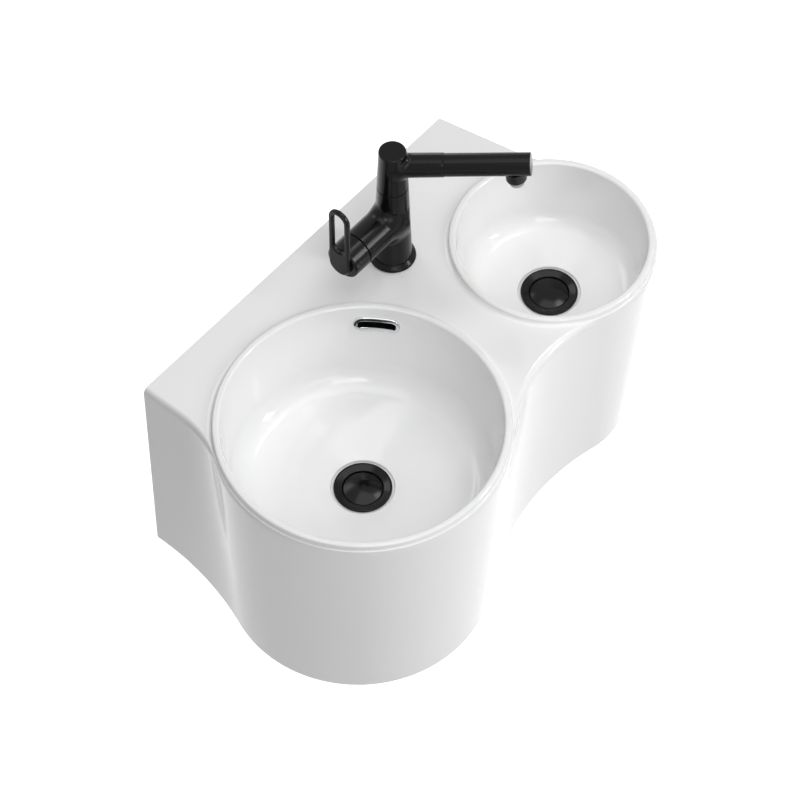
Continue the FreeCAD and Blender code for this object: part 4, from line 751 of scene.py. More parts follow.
def fit_cove(bowl, middle, rim):
    """Draw the cove in where the edge of the deck comes close."""
    edge = dict(SHOULDER, front=FRONT_TOP)
    outline = np.array([tuple(p - middle) for p in basin_outline(edge, inset=EDGE_FADE, ends=END_ROUND)])
    after = np.roll(outline, -1, axis=0)
    for vertex in bowl.data.vertices:
        flat = np.array(vertex.co[:2]) * 1000 - np.array(middle)
        radius = np.hypot(*flat)
        if radius < rim + NO_WIDTH or vertex.co.z < mm(DECK - COVE / 2):
            continue
        way = flat / radius
        side = outline[:, 0] * way[1] - outline[:, 1] * way[0]
        next_side = after[:, 0] * way[1] - after[:, 1] * way[0]
        crossing = np.nonzero(((side <= 0) & (next_side > 0)) | ((side >= 0) & (next_side < 0)))[0]
        shares = side[crossing] / (side[crossing] - next_side[crossing])
        places = outline[crossing] * (1 - shares[:, None]) + after[crossing] * shares[:, None]
        reach = max(places @ way)
        width = min(max(reach - rim - COVE_GAP, COVE_LEAST), COVE)
        new_radius = rim + (radius - rim) * width / COVE
        vertex.co.x = mm(middle.x + way[0] * new_radius)
        vertex.co.y = mm(middle.y + way[1] * new_radius)


big_bowl = turn_bowl("big_bowl", BIG, BIG_BOWL)
small_bowl = turn_bowl("small_bowl", SMALL, SMALL_BOWL)
fit_cove(big_bowl, BIG, BIG_BOWL["rim"])
fit_cove(small_bowl, SMALL, SMALL_BOWL["rim"])
print("bowl faces:", len(big_bowl.data.polygons), len(small_bowl.data.polygons))

# %% [markdown]
# ## The overflow
# A slot high in the wall of the big bowl opens into a duct, which is moulded outside the bowl and ends in
# the ring round the drain. The jacket is a slab in the upright plane of the slot; its way and the slot are
# then cut out.

# %% Jacket, way and slot of the overflow
OVERFLOW_TURN = math.radians(34.2)
OUT = Vector((math.cos(OVERFLOW_TURN), math.sin(OVERFLOW_TURN), 0))
BESIDE = UP.cross(OUT)
BIG_TOP = mm(BIG.x, BIG.y, RIM)
SLOT_DEPTH = 25.5
SLEEVE = (46, 12.5)
SLEEVE_PLAY = 0.3


def slab(name, corners, width):
    """A slab in the plane of the slot; corners are (reach from the bowl axis, height from the rim)."""
    flat = [BIG_TOP + OUT * mm(reach) + UP * mm(height) for reach, height in corners]
    return ringed_piece(name, [[p + BESIDE * mm(side) for p in flat] for side in (-width / 2, width / 2)],
                        shaded=False)


def duct_way():
    """What is hollow in the duct."""
    return slab("duct_way", [(24, -152), (46, -152), (135.5, -134), (163, -102), (173, -24), (166, -24),
                             (156, -102), (135.5, -128.5), (46, -147.5), (24, -147.5)], 46)


def slot_ring(width, high, place, steps=16):
    """Points of a lying slot with round ends; place(across, up) gives the place in metres."""
    radius = high / 2
    half = width / 2 - radius
    turns = [math.pi * i / steps for i in range(steps + 1)]
    points = []
    for side in (1, -1):
        points += [(side * (half + radius * math.sin(a)), side * radius * math.cos(a)) for a in turns]
        points += [(side * half * (1 - 2 * i / steps), -side * radius) for i in range(1, steps)]
    return [place(across, up) for across, up in points]


def slot_plane(reach):
    """Places on an upright plane at this reach from the bowl axis."""
    return lambda across, up: BIG_TOP + OUT * mm(reach) + BESIDE * mm(across) + UP * mm(up - SLOT_DEPTH)


def slot_cutter():
    """The slot through the wall of the bowl, a little wider than the sleeve."""
    width, high = SLEEVE[0] + SLEEVE_PLAY, SLEEVE[1] + SLEEVE_PLAY
    rings = [slot_ring(width, high, slot_plane(reach)) for reach in (130, 169)]
    return ringed_piece("slot_cutter", rings, shaded=False)


jacket = slab("duct_jacket", [(40, -158), (141.5, -140), (169, -102), (179, -18), (160, -18), (149.5, -105),
                              (136, -119.5), (40, -133)], 58)
for piece in (jacket, big_bowl):
    cut_away(piece, duct_way())
    cut_away(piece, slot_cutter())
print("jacket faces:", len(jacket.data.polygons))

# %% Join the ceramic and leave its wall face and foot bare
basin = joined("basin_glaze", basin, big_bowl, small_bowl, jacket)
smooth(basin)
hand_over(basin, "ceramic_basin")
basin.data.materials.append(bare_bisque)
for face in basin.data.polygons:
    at_wall = face.normal.y > 0.9 and face.center.y > mm(-0.5)
    at_foot = face.normal.z < -0.5 and face.center.z < mm(FOOT + 1)
    face.material_index = 1 if at_wall or at_foot else 0
print("bare faces:", sum(face.material_index for face in basin.data.polygons))

# %% [markdown]
# ## The ring of the overflow
# A polished oval ring dresses the slot and holds a sleeve in it. It follows the round wall of the bowl, so
# each ring is worked out flat, as steps across and up, and every point is then set on the wall. The loop
# goes through the mouth to the front, over the rounded face, back along the outside and round the sleeve,
# and closes on itself. The faces inside the sleeve are painted black as painted shade. They stand for the
# shade of the deep duct behind the slot, so that the slot looks like a dark hole.

# %% Ring and sleeve of the overflow
WALL_LEAN = (BIG_BOWL["inside"] - BIG_BOWL["corner"]) / BIG_BOWL["corner_depth"]
MOUTH = (43, 9.5)
RING_FACE = (53, 21)
RING_PROUD = 2.4
RING_ROUND = 0.9
RING_SEAT = -0.03
SLEEVE_END = 163


def on_wall(proud):
    """Places this far in front of the bowl's wall."""
    def place(across, up):
        """The place across and above the middle of the slot."""
        radius = BIG_BOWL["inside"] - proud - (SLOT_DEPTH - up) * WALL_LEAN
        return slot_plane(math.sqrt(radius ** 2 - across ** 2))(across, up)
    return place


def oval(size, grow, place):
    """A slot ring of this size, grown or shrunk all round."""
    return slot_ring(size[0] + grow, size[1] + grow, place)


rings = [oval(MOUTH, 0, slot_plane(SLEEVE_END)), oval(MOUTH, 0, on_wall(0)),
         oval(MOUTH, 0, on_wall(RING_PROUD - RING_ROUND))]
for turn in quarter_turns(5)[1:]:
    grow, rise = 2 * RING_ROUND * (1 - math.cos(turn)), RING_ROUND * (1 - math.sin(turn))
    rings.append(oval(MOUTH, grow, on_wall(RING_PROUD - rise)))
for turn in quarter_turns(5):
    shrink, drop = 2 * RING_ROUND * (1 - math.sin(turn)), RING_ROUND * (1 - math.cos(turn))
    rings.append(oval(RING_FACE, -shrink, on_wall(RING_PROUD - drop)))
rings += [oval(RING_FACE, 0, on_wall(RING_SEAT)), oval(SLEEVE, 0, on_wall(RING_SEAT)),
          oval(SLEEVE, 0, slot_plane(SLEEVE_END))]
trim = ringed_piece("overflow_trim", rings, closed=True)
hand_over(trim, "overflow_ring")
# Painted shade: the faces inside the slot get the black satin finish, which stands for the shade of the deep
# duct behind the chrome sleeve.
trim.data.materials.append(satin_black)
half_width, half_height = mm(MOUTH[0] / 2 + 0.1), mm(MOUTH[1] / 2 + 0.15)
for face in trim.data.polygons:
    way = face.center - BIG_TOP
    painted_shade_in_slot = abs(way.dot(BESIDE)) < half_width and abs(way.z + mm(SLOT_DEPTH)) < half_height
    face.material_index = 1 if painted_shade_in_slot else 0
print("dark faces in the slot:", sum(face.material_index for face in trim.data.polygons))

# %% [markdown]
# ## The two wastes
# Each drain has a turned brass body with a wide flange, held by a nut under the basin, and a domed plug
# that clicks up and down. All of it is lathe work, so it is all turned. The lower end is threaded: a zigzag
# in the profile gives ridges two millimetres apart. Both wastes are alike, so one is made and then copied
# across to the small bowl.

# %% Helpers for copies and nuts
BIG_DRAIN = mm(BIG.x, BIG.y, RIM - BIG_BOWL["depth"])
SMALL_DRAIN = mm(SMALL.x, SMALL.y, RIM - SMALL_BOWL["depth"])


def copied(piece, name, move):
    """A copy with a mesh of its own, moved or turned by a matrix."""
    copy = piece.copy()
    copy.data = piece.data.copy()
    copy.name = name
    bpy.context.scene.collection.objects.link(copy)
    copy.data.transform(move)
    return copy


def hex_nut(name, place, low, thick, flats, bore):
    """A nut whose lower corners are turned off in a cone; rings follow the smaller of hexagon and cone."""
    turns = [2 * math.pi * i / AROUND for i in range(AROUND)]
    bevel = (flats / math.sqrt(3) - flats / 2) / math.sqrt(3)

    def ring(height, limit):
        """The hexagon at this height, but nowhere wider than the limit."""
        return [place + mm(math.cos(a) * r, math.sin(a) * r, height) for a, r in
                ((a, min(flats / 2 / math.cos(a % (math.pi / 3) - math.pi / 6), limit)) for a in turns)]

    rings = [ring(low + bevel * i / 4, flats / 2 + bevel * i / 4 * math.sqrt(3)) for i in range(5)]
    rings += [ring(low + thick, flats), ring(low + thick, bore), ring(low, bore)]
    return ringed_piece(name, rings, closed=True)


print("big drain at", tuple(round(v, 4) for v in BIG_DRAIN))

# %% Waste body with its hub
TUBE = 20.4
TUBE_BORE = 18
TUBE_END = -80
NECK_OF_TUBE = 20.8
NUT_LOW = -48.5
FLANGE = 33
FLANGE_THICK = 2
SEAT = -7.4
THREAD_STEP = 1
THREAD_DEEP = 0.8
PORT_HALF = 7
PORT_BEND = 1.5
HUB = 9.5
HUB_BORE = 7.05
HUB_LOW, HUB_HIGH = -38, -29
ridges = [(TUBE - THREAD_DEEP * (i % 2), TUBE_END + 2 + i * THREAD_STEP) for i in range(29)]
waste = turned_piece("waste", [(TUBE_BORE, TUBE_END, 0.4), (TUBE, TUBE_END, 0.4)] + ridges + [
    (TUBE, NUT_LOW), (NECK_OF_TUBE, NUT_LOW), (NECK_OF_TUBE, -10.4), (25.2, -10.4, 0.6), (25.2, -7.7),
    (29.5, -2.6, 0.6), (29.5, -FLANGE_THICK), (FLANGE, -FLANGE_THICK, 0.4), (FLANGE, 0, 1.1), (30.5, 0, 1.2),
    (23.2, -2.6, 0.9), (23.2, SEAT, 0.6), (TUBE_BORE, SEAT, 0.4)], BIG_DRAIN, closed=True, shaded=False)
port = rounded([(-PORT_HALF, -23.5, PORT_BEND), (PORT_HALF, -23.5, PORT_BEND), (PORT_HALF, -16.5, PORT_BEND),
                (-PORT_HALF, -16.5, PORT_BEND)], closed=True)
cut_away(waste, ringed_piece("port_cutter", [[BIG_DRAIN + mm(x, y, z) for x, z in port] for y in (-27, 27)],
                             shaded=False))
hub = turned_piece("hub", [(HUB_BORE, HUB_LOW, 0.3), (HUB, HUB_LOW, 0.5), (HUB, HUB_HIGH, 0.5),
                           (HUB_BORE, HUB_HIGH, 0.3)], BIG_DRAIN, closed=True, shaded=False)
bar = rounded([(8.5, -1.5, 0.4), (19.2, -1.5), (19.2, 1.5), (8.5, 1.5, 0.4)], closed=True)
spoke = ringed_piece("spoke", [[BIG_DRAIN + mm(x, y, z) for x, y in bar] for z in (-37.8, -29.2)],
                     shaded=False)
around = [Matrix.Translation(BIG_DRAIN) @ Matrix.Rotation(math.radians(120 * i), 4, "Z")
          @ Matrix.Translation(-BIG_DRAIN) for i in (1, 2)]
waste = joined("big_drain_body", waste, hub, spoke, copied(spoke, "spoke_2", around[0]),
               copied(spoke, "spoke_3", around[1]))
smooth(waste)
print("waste faces:", len(waste.data.polygons))

# %% Plug, seals, washer, nut and cartridge
PLUG_FACE = 21.2
PLUG_EDGE = 1.2
PLUG_TOP = -0.6
PLUG_RISE = 2.8
PLUG_FOOT = -6.2
STEM = 3.6
STEM_TOP = -4.5
NUT_THICK = 10
NUT_HIGH = NUT_LOW + NUT_THICK
dome_radius = (PLUG_FACE ** 2 + PLUG_RISE ** 2) / (2 * PLUG_RISE)
brow, side = (PLUG_FACE, PLUG_TOP - PLUG_RISE), (PLUG_FACE + PLUG_EDGE, PLUG_TOP - PLUG_RISE - PLUG_EDGE)
dome = arc_points((0, PLUG_TOP), brow, dome_radius, -1, 10) + arc_points(brow, side, PLUG_EDGE, -1)[1:]
plug = turned_piece("big_drain_plug", dome + [(side[0], PLUG_FOOT), (3.62, PLUG_FOOT), (3.62, STEM_TOP),
                                              (0, STEM_TOP)], BIG_DRAIN)
drain_rings = {
    "flange_seal": [(29.8, -DRAIN_BED, 0.3), (32.4, -DRAIN_BED, 0.3), (32.4, -FLANGE_THICK),
                    (29.8, -FLANGE_THICK)],
    "lower_washer": [(20.9, NUT_HIGH), (30.5, NUT_HIGH, 0.6), (33, -36, 0.6), (33, -DRAIN_RING),
                     (20.9, -DRAIN_RING)],
    "plug_seal": [(18.4, -7.05, 0.3), (21.6, -7.05, 0.3), (21.6, PLUG_FOOT), (18.4, PLUG_FOOT)]}
drain_pins = {
    "click_cartridge": [(0, -52), (7, -52, 1), (7, HUB_HIGH), (8.2, HUB_HIGH, 0.4), (8.2, -27, 0.4),
                        (3.65, -27), (3.65, -46), (0, -46)],
    "plug_stem": [(0, -42), (STEM, -42, 0.6), (STEM, STEM_TOP), (0, STEM_TOP)]}
drain_pieces = {"waste_body": waste, "plug": plug,
                "back_nut": hex_nut("big_drain_nut", BIG_DRAIN, NUT_LOW, NUT_THICK, 52, 20.85)}
for part, corners in {**drain_rings, **drain_pins}.items():
    drain_pieces[part] = turned_piece("big_drain_" + part, corners, BIG_DRAIN, closed=part in drain_rings)
for part, piece in drain_pieces.items():
    twin = copied(piece, piece.name.replace("big", "small"), Matrix.Translation(SMALL_DRAIN - BIG_DRAIN))
    hand_over(piece, "big_" + part)
    hand_over(twin, "small_" + part)

# %% [markdown]
# ## The foot of the tap and its fixing
# A soft ring hides the hole in the deck. Below, a threaded shank, a rubber washer, a steel washer and a nut
# clamp the tap to the ceramic. They are turned like the rest; only someone who looks up under the basin
# sees them.

# %% Foot ring, gasket and shank
GASKET = 1.2
SHANK = 16
SHANK_BORE = 13.5
SHANK_LOW, SHANK_HIGH = -62, 13
SHANK_STEP = 0.75
STEEL_LOW, RUBBER_LOW, RUBBER_HIGH = -19, -17, -14
WASHER = 27
foot_curve = arc_points((26.6, 2.6), (24.6, 5.6), 5, 1)
foot_corners = [(22.3, GASKET), (26.6, GASKET, 0.3)] + foot_curve + [(22.3, 8.2)]
foot_ring = turned_piece("tap_foot_collar", foot_corners, TAP_FOOT, steps=FINE, closed=True)
hand_over(foot_ring, "tap_foot_ring")
gasket_corners = [(17, 0), (25.6, 0, 0.3), (25.6, GASKET, 0.3), (17, GASKET)]
hand_over(turned_piece("tap_gasket_ring", gasket_corners, TAP_FOOT, closed=True), "tap_gasket")
shank_ridges = [(SHANK - THREAD_DEEP * (i % 2), SHANK_LOW + 1 + i * SHANK_STEP) for i in range(81)]
shank_corners = [(SHANK_BORE, SHANK_LOW, 0.3), (SHANK - THREAD_DEEP, SHANK_LOW)] + shank_ridges
shank_corners += [(SHANK, SHANK_HIGH), (SHANK_BORE, SHANK_HIGH)]
shank = turned_piece("tap_shank", shank_corners, TAP_FOOT, steps=72, closed=True)
hand_over(shank, "threaded_shank")
shank_washers = {
    "rubber": [(17.4, RUBBER_LOW, 0.4), (WASHER, RUBBER_LOW, 0.6), (WASHER, RUBBER_HIGH, 0.3),
               (17.4, RUBBER_HIGH)],
    "steel": [(16.3, STEEL_LOW, 0.3), (WASHER, STEEL_LOW, 0.4), (WASHER, RUBBER_LOW, 0.2),
              (16.3, RUBBER_LOW)]}
for stuff, corners in shank_washers.items():
    hand_over(turned_piece("shank_" + stuff, corners, TAP_FOOT, closed=True), stuff + "_washer")
hand_over(hex_nut("shank_hex_nut", TAP_FOOT, STEEL_LOW - 9, 9, 46, SHANK + 0.05), "shank_nut")

# %% [markdown]
# ## Soft joints between round bodies
# The barrel flows out of the column in a generous fillet, and so does the arm from the spout. A bevel can't
# follow such a curve, so the two round bodies are joined and skinned with a fine even mesh. Every point of
# that skin then slides onto the exact surface: the distance to each body is known by a formula, and where
# both are close the two distances blend into a fillet of the right radius. Straight stretches stay turned
# pieces with crisp ends.

# %% Skin two round bodies
SETTLE_ROUNDS = 4
PROBE = 0.01
LEAST_SLOPE = 0.05


def fillet(first, last, radius):
    """Distance to two bodies joined by a fillet, from the distances to each."""
    near = np.hypot(np.maximum(radius - first, 0), np.maximum(radius - last, 0))
    return np.maximum(radius, np.minimum(first, last)) - near


def skin(name, grain, shape, *bodies):
    """Join the bodies, cover them with an even mesh and settle it where the shape's distance is zero."""
    piece = joined(name, *bodies)
    apply_modifier(piece, "REMESH", mode="VOXEL", voxel_size=mm(grain))
    flat = np.empty(len(piece.data.vertices) * 3)
    piece.data.vertices.foreach_get("co", flat)
    points = flat.reshape(-1, 3) * 1000
    for _ in range(SETTLE_ROUNDS):
        slope = np.stack([(shape(points + move) - shape(points - move)) / (2 * PROBE)
                          for move in np.eye(3) * PROBE], axis=1)
        points -= slope * (shape(points) / np.maximum((slope ** 2).sum(axis=1), LEAST_SLOPE))[:, None]
    piece.data.vertices.foreach_set("co", (points / 1000).ravel())
    piece.data.update()
    return piece


def cut_flat(piece, place, normal):
    """Cut a piece off at a plane, on the side the normal points to, and close it."""
    only(piece)
    bpy.ops.object.mode_set(mode="EDIT")
    bpy.ops.mesh.select_all(action="SELECT")
    bpy.ops.mesh.bisect(plane_co=place, plane_no=normal, use_fill=True, clear_outer=True)
    bpy.ops.object.mode_set(mode="OBJECT")


print("fillet of two bodies 3 mm away each:", round(float(fillet(np.array(3.0), np.array(3.0), 11)), 3), "mm")

# %% [markdown]
# ## The fixed body
# The column stands on the foot ring and narrows upwards; the side barrel takes the cartridge and carries
# the lever.

# %% Column and barrel
SIDE = Vector((-1, 0, 0))
COLUMN = 22.2
NECK = 17.9
NECK_HEIGHT = 124.2
BARREL = 21
SWELL = 2.2
SWELL_END = 26
SWELL_RADIUS = (SWELL_END ** 2 + SWELL ** 2) / (2 * SWELL)
BARREL_FILLET = 11
CARTRIDGE_ROOM = 17.6
FOOT_BORE = 16.02
FOOT_SEAM = 28
NECK_SEAM = 112
MOUTH_SEAM = 46
tap_middle = np.array(TAP_FOOT) * 1000


def column_radius(height):
    """Radius of the fixed column, which narrows upwards."""
    return COLUMN - (height - GASKET) * (COLUMN - NECK) / (NECK_HEIGHT - GASKET)


def body_shape(points):
    """Distance in millimetres to the column and barrel."""
    x, y, z = (points - tap_middle).T
    swell = SWELL_RADIUS - np.sqrt(SWELL_RADIUS ** 2 - np.clip(SWELL_END + x, 0, SWELL_END) ** 2)
    barrel = np.maximum(np.hypot(y, z - BARREL_HEIGHT) - BARREL + swell, x)
    return fillet(np.hypot(x, y) - column_radius(z), barrel, BARREL_FILLET)


middle_part = rod(20, 122, column_radius(20), column_radius(122), TAP_FOOT)
barrel_part = turned_piece("barrel", [(0, 0), (BARREL - SWELL, 0), (BARREL, SWELL_END), (BARREL, 55),
                                      (0, 55)], BARREL_AXIS, along=SIDE, shaded=False)
body = skin("body", 0.8, body_shape, middle_part, barrel_part)
cut_flat(body, TAP_FOOT + UP * mm(NECK_SEAM), UP)
cut_flat(body, TAP_FOOT + UP * mm(FOOT_SEAM), -UP)
cut_flat(body, BARREL_AXIS + SIDE * mm(MOUTH_SEAM), SIDE)
cut_away(body, rod(20, 50, CARTRIDGE_ROOM, CARTRIDGE_ROOM, BARREL_AXIS, SIDE))
print("skinned faces:", len(body.data.polygons))
smooth(body, weighted=False)

# %% Ends of the column and barrel
SPIGOT = 12
SPIGOT_TOP = 150
SEAL_GROOVE = 10.3
STOP_GROOVE = 9.6
HOSE_BORE = 7
MOUTH_END = 60.6
foot_part = turned_piece("column_foot", [
    (FOOT_BORE, GASKET), (COLUMN, GASKET), (column_radius(FOOT_SEAM), FOOT_SEAM), (FOOT_BORE, FOOT_SEAM)],
    TAP_FOOT, steps=FINE, closed=True)
grooves = []
for floor, low, high in ((SEAL_GROOVE, 129, 131.4), (STOP_GROOVE, 135, 141), (SEAL_GROOVE, 144.6, 147)):
    grooves += [(SPIGOT, low), (floor, low), (floor, high), (SPIGOT, high)]
neck_part = turned_piece("column_neck", [
    (HOSE_BORE, NECK_SEAM), (column_radius(NECK_SEAM), NECK_SEAM), (NECK, NECK_HEIGHT, 0.2),
    (SPIGOT, NECK_HEIGHT)] + grooves + [(SPIGOT, SPIGOT_TOP, 1), (HOSE_BORE, SPIGOT_TOP)], TAP_FOOT,
    steps=FINE, closed=True)
mouth_part = turned_piece("barrel_mouth", [
    (CARTRIDGE_ROOM, MOUTH_SEAM), (BARREL, MOUTH_SEAM), (BARREL, MOUTH_END, 0.3), (19, MOUTH_END), (19, 52),
    (CARTRIDGE_ROOM, 52)], BARREL_AXIS, along=SIDE, steps=FINE, closed=True)
body = joined("tap_column", body, foot_part, neck_part, mouth_part)
hand_over(body, "tap_body")

# %% Slide ring
SLIDE_TOP = NECK_HEIGHT + 0.9
slide = turned_piece("swivel_slide_ring", [
    (12.1, NECK_HEIGHT), (16.4, NECK_HEIGHT, 0.15), (16.4, SLIDE_TOP, 0.15), (12.1, SLIDE_TOP)], TAP_FOOT,
    steps=FINE, closed=True)
hand_over(slide, "slide_ring")

# %% [markdown]
# ## The lever
# The lever is a round cap on the end of the barrel, with an upright flat loop that a finger hooks into. The
# loop is a frame between two outlines with round ends, so it is drawn along rings that run once round its
# cross-section: back, outside, front and inside, with two-millimetre roundings between them.

# %% Lever cap
CAP_START = 62.1
CAP_END = 86.5
GRUB_HOLE = 2.5
cap = turned_piece("lever_end_cap", [
    (0, 77.02), (5.02, 77.02), (5.02, 68), (18.5, 68), (18.5, CAP_START), (BARREL, CAP_START, 0.3),
    (BARREL, CAP_END, 2.4), (0, CAP_END)], BARREL_AXIS, along=SIDE, steps=FINE, shaded=False)
cut_away(cap, rod(10, 24, GRUB_HOLE, GRUB_HOLE, BARREL_AXIS + SIDE * mm(73), -UP, 32))
hand_over(smooth(cap), "lever_cap")

# %% Lever loop
LOOP_THICK = 5.6
LOOP_ROUND = 2
LOOP_TOP = 78
LOOP_OUTSIDE = 14
WINDOW_FOOT = 30
WINDOW = 8


def loop_ring(low, radius, reach):
    """An upright outline with round ends, at this reach along the barrel."""
    turns = [math.pi * i / 24 for i in range(25)]
    top = [(radius * math.cos(turn), LOOP_TOP + radius * math.sin(turn)) for turn in turns]
    foot = [(-radius * math.cos(turn), low - radius * math.sin(turn)) for turn in turns]
    left = [(-radius, LOOP_TOP + (low - LOOP_TOP) * i / 8) for i in range(1, 8)]
    right = [(radius, low + (LOOP_TOP - low) * i / 8) for i in range(1, 8)]
    return [BARREL_AXIS + SIDE * mm(CAP_END + reach) + mm(0, y, z) for y, z in top + left + foot + right]


bends = [(LOOP_ROUND * (1 - math.sin(turn)), LOOP_ROUND * (1 - math.cos(turn))) for turn in quarter_turns(5)]
rings = [loop_ring(0, LOOP_OUTSIDE - late, early) for late, early in bends]
rings += [loop_ring(0, LOOP_OUTSIDE - early, LOOP_THICK - late) for late, early in bends]
rings += [loop_ring(WINDOW_FOOT, WINDOW + late, LOOP_THICK - early) for late, early in bends]
rings += [loop_ring(WINDOW_FOOT, WINDOW + early, late) for late, early in bends]
hand_over(ringed_piece("lever_finger_loop", rings, closed=True), "lever_loop")

# %% [markdown]
# ## The swivelling spout
# The spout is the upper half of the column with the arm. It turns on the spigot, so its lower edge shows a
# fine seam against the fixed body. The arm points to the right front and rises a little.

# %% Column and arm of the spout
SPOUT_TURN = math.radians(-55)
SPOUT_TILT = math.radians(7)
SPOUT_LOW = 125.4
SPOUT_HIGH = 183
SPOUT_TOP = 15.4
ARM_ROOT = TAP_FOOT + UP * mm(159)
ARM_WAY = Vector((math.cos(SPOUT_TURN) * math.cos(SPOUT_TILT), math.sin(SPOUT_TURN) * math.cos(SPOUT_TILT),
                  math.sin(SPOUT_TILT)))
ARM_DOWN = ARM_WAY.cross(ARM_WAY.cross(UP)).normalized()
ARM = 13.9
ARM_END = 56.4
ARM_TAPER = 0.2
ARM_BORE = 10.6
SWIVEL_BORE = 12.05
ARM_FILLET = 5
HEAD = 13.1
COLLAR_SEAM = 133
TOP_SEAM = 181.3
ARM_SEAM = 29


def spout_radius(height):
    """Radius of the swivelling column, which goes on narrowing."""
    return NECK - (height - SPOUT_LOW) * (NECK - SPOUT_TOP) / (SPOUT_HIGH - SPOUT_LOW)


def arm_radius(reach):
    """Radius of the arm, which narrows a little outwards."""
    return ARM - ARM_TAPER * reach / ARM_END


def spout_shape(points):
    """Distance in millimetres to the upper column and the arm."""
    local = points - tap_middle
    column = np.hypot(local[:, 0], local[:, 1]) - spout_radius(local[:, 2])
    local = points - np.array(ARM_ROOT) * 1000
    reach = local @ np.array(ARM_WAY)
    across = np.linalg.norm(local - reach[:, None] * np.array(ARM_WAY), axis=1)
    return fillet(column, np.maximum(across - arm_radius(reach), -reach), ARM_FILLET)


upper_part = rod(130, SPOUT_HIGH, spout_radius(130), SPOUT_TOP, TAP_FOOT)
arm_part = rod(0, 36, ARM, arm_radius(36), ARM_ROOT, ARM_WAY)
spout = skin("spout_skin", 0.7, spout_shape, upper_part, arm_part)
cut_flat(spout, TAP_FOOT + UP * mm(TOP_SEAM), UP)
cut_flat(spout, TAP_FOOT + UP * mm(COLLAR_SEAM), -UP)
cut_flat(spout, ARM_ROOT + ARM_WAY * mm(ARM_SEAM), ARM_WAY)
screw_way = -Vector((math.cos(SPOUT_TURN), math.sin(SPOUT_TURN), 0))
cut_away(spout, turned_piece("swivel_cutter", [
    (0, 131), (SWIVEL_BORE, 131), (SWIVEL_BORE, 151), (8, 151), (8, 172), (0, 172)], TAP_FOOT, shaded=False))
cut_away(spout, rod(0, 31, ARM_BORE, ARM_BORE, ARM_ROOT, ARM_WAY))
cut_away(spout, rod(9, 21, GRUB_HOLE, GRUB_HOLE, TAP_FOOT + UP * mm(138), screw_way, 32))
smooth(spout, weighted=False)
print("skinned faces:", len(spout.data.polygons))

# %% Ends of the spout
MUZZLE_END = 57
collar_part = turned_piece("spout_collar", [
    (SWIVEL_BORE, SPOUT_LOW), (NECK, SPOUT_LOW, 0.2), (spout_radius(COLLAR_SEAM), COLLAR_SEAM),
    (SWIVEL_BORE, COLLAR_SEAM)], TAP_FOOT, steps=FINE, closed=True)
top_part = turned_piece("spout_top", [(0, TOP_SEAM), (spout_radius(TOP_SEAM), TOP_SEAM),
                                      (SPOUT_TOP, SPOUT_HIGH, 1.6), (0, SPOUT_HIGH)], TAP_FOOT, steps=FINE)
muzzle_part = turned_piece("arm_muzzle", [
    (ARM_BORE, ARM_SEAM), (arm_radius(ARM_SEAM), ARM_SEAM), (ARM - ARM_TAPER, ARM_END), (HEAD, MUZZLE_END),
    (ARM_BORE, MUZZLE_END, 0.3)], ARM_ROOT, along=ARM_WAY, steps=FINE, closed=True)
spout = joined("spout_column_and_arm", spout, collar_part, top_part, muzzle_part)
hand_over(spout, "spout")

# %% [markdown]
# ## The pull-out head
# The head continues the arm as a plain tube with a flat end. Under it sits a short nozzle: a boss that
# grows out of the tube, a collar, and a pale insert that shapes the jet. Boss and tube are turned apart and
# then made one.

# %% Head with its nozzle boss
NOZZLE = ARM_ROOT + ARM_WAY * mm(134)
HEAD_END = 152.5
HEAD_BORE = 7.5
COLLAR = 11.7
COLLAR_END = 23.1
head = turned_piece("spray_head_tube", [
    (HEAD_BORE, 37, 0.3), (10.55, 37, 0.5), (10.55, 57.4), (HEAD, 57.4, 0.4), (HEAD, HEAD_END, 1.2),
    (0, HEAD_END), (0, 146), (HEAD_BORE, 146)], ARM_ROOT, along=ARM_WAY, steps=FINE, closed=True,
    shaded=False)
boss = turned_piece("boss", [(0, 8.8), (COLLAR, 8.8), (COLLAR, 15, 0.3), (0, 15)], NOZZLE, along=ARM_DOWN,
                    shaded=False)
use_up(head, boss, "UNION")
cut_away(head, rod(9.4, 17, 10, 10, NOZZLE, ARM_DOWN))
hand_over(smooth(head), "spray_head")

# %% Collar, jet insert and hose
collar = turned_piece("nozzle_trim", [
    (9.9, 15.1), (COLLAR, 15.1, 0.3), (COLLAR, COLLAR_END, 0.8), (9.9, COLLAR_END, 0.2)], NOZZLE,
    along=ARM_DOWN, closed=True)
hand_over(collar, "nozzle_collar")
insert = turned_piece("jet_former", [
    (0, 10), (9.75, 10), (9.75, COLLAR_END), (8.6, 31, 0.9), (6.4, 31, 0.5), (6.4, 17), (0, 17)], NOZZLE,
    along=ARM_DOWN)
hand_over(insert, "jet_insert")
hose = turned_piece("hose_end", [(3.5, 3), (6, 3), (6, 38), (7.45, 38, 0.4), (7.45, 49, 0.4), (3.5, 49)],
                    ARM_ROOT, along=ARM_WAY, closed=True)
hand_over(hose, "head_hose", braided_nylon)

# %% [markdown]
# ## Floor, backdrop and light
# The basin hangs over half a metre above a plain pale floor, in front of white. Camera, mirror and glass
# rays see floor and room as pure white, so that glaze and chrome reflect a bright studio. All other rays
# meet a dim room, and so the soft lamps alone model the forms: a tall narrow one at the right front draws
# the bright line down the tap, a broad one hangs overhead, two fill in from the front left, one lights the
# right side from above, and two light the rims from behind. Where a pale face came out pure white, the
# lamps were turned down and the colour was left alone. The picture is shown without a film curve, so that
# white stays white.

# %% Floor
bpy.context.scene.view_settings.view_transform = "Standard"
FLOOR_DROP = 740
FLOOR_SIZE = 14000


def rays_that_see_white(owner, feeds=None):
    """A node that is 1 for camera, mirror and glass rays, in a material or the world."""
    paths = add_node(owner, "LightPath")
    two = add_node(owner, "Math", {0: paths.outputs["Is Camera Ray"], 1: paths.outputs["Is Glossy Ray"]},
                   operation="MAXIMUM")
    return add_node(owner, "Math", {0: two, 1: paths.outputs["Is Transmission Ray"]}, feeds,
                    operation="MAXIMUM")


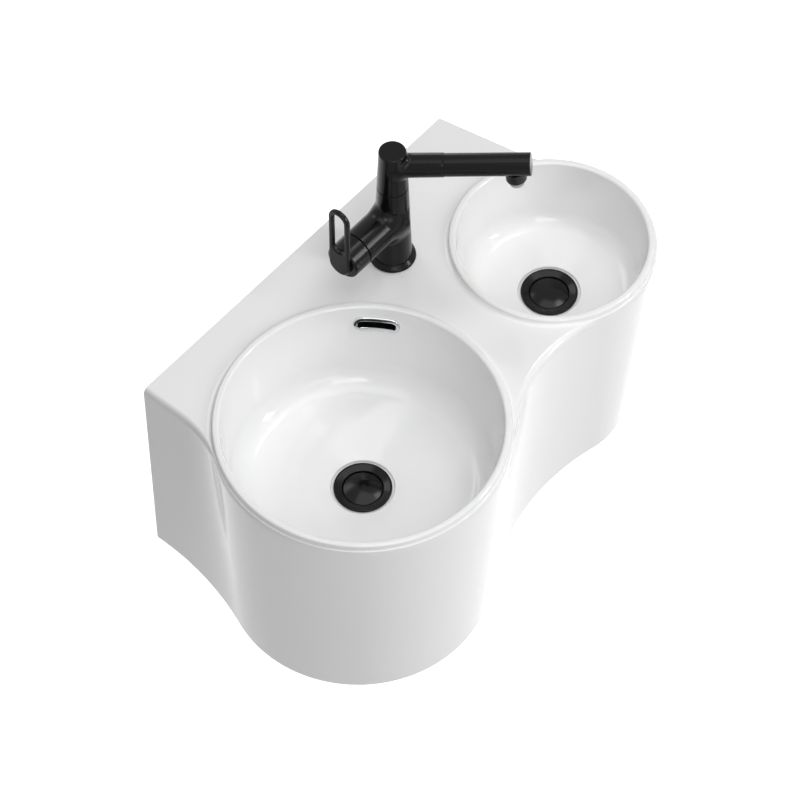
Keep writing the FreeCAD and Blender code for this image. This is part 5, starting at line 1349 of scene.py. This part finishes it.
select_nothing()
bpy.ops.mesh.primitive_plane_add(size=mm(FLOOR_SIZE), location=(0, 0, mm(-FLOOR_DROP)))
floor = bpy.context.object
floor.name = "floor"
floor_white = new_finish("matt_white_floor", {"Roughness": 0.9, "Base Color": colour("#e4e4e4"),
                                              "Emission Color": colour("#ffffff")})[0]
rays_that_see_white(floor_white, "Emission Strength")
floor.data.materials.append(floor_white)
print("floor at", mm(-FLOOR_DROP), "m")

# %% Room and lamps
ROOM_GREY = 0.1
world = bpy.data.worlds.new("pale_room")
world.use_nodes = True
bpy.context.scene.world = world
background = world.node_tree.nodes["Background"]
level = add_node(world, "MapRange", {"Value": rays_that_see_white(world), "To Min": ROOM_GREY, "To Max": 1.0})
world.node_tree.links.new(level.outputs["Result"], background.inputs["Strength"])
background.inputs["Color"].default_value = colour("#ffffff")


def soft_lamp(name, place, aim, size, power, high=None):
    """An area lamp at a place, turned to its aim. It is square unless its height is given too."""
    lamp = bpy.data.objects.new(name, bpy.data.lights.new(name, "AREA"))
    lamp.data.shape = "RECTANGLE"
    lamp.data.size = size
    lamp.data.size_y = high or size
    lamp.data.energy = power
    lamp.location = place
    lamp.rotation_euler = (Vector(place) - Vector(aim)).to_track_quat("Z", "Y").to_euler()
    bpy.context.scene.collection.objects.link(lamp)
    return lamp


soft_lamp("key_light", (0.9, -1.75, 0.95), (0, -0.2, 0.1), 0.16, 11, high=0.9)
soft_lamp("ceiling_light", (0.1, -0.5, 2.4), (0, -0.2, 0), 2.0, 22)
soft_lamp("high_right_light", (1.0, -0.35, 1.9), (0, -0.2, 0), 0.4, 3.5)
soft_lamp("front_light", (-0.9, -2.1, 0.8), (0, -0.2, 0), 1.0, 7.5)
soft_lamp("front_left_light", (-1.2, -1.6, 2.0), (0, -0.2, 0), 1.0, 15)
soft_lamp("back_light", (0.3, 1.6, 1.6), (0, -0.2, 0), 1.0, 8)
soft_lamp("back_strip", (1.75, 1.65, 0.55), (0.1, -0.2, 0.15), 0.3, 3)
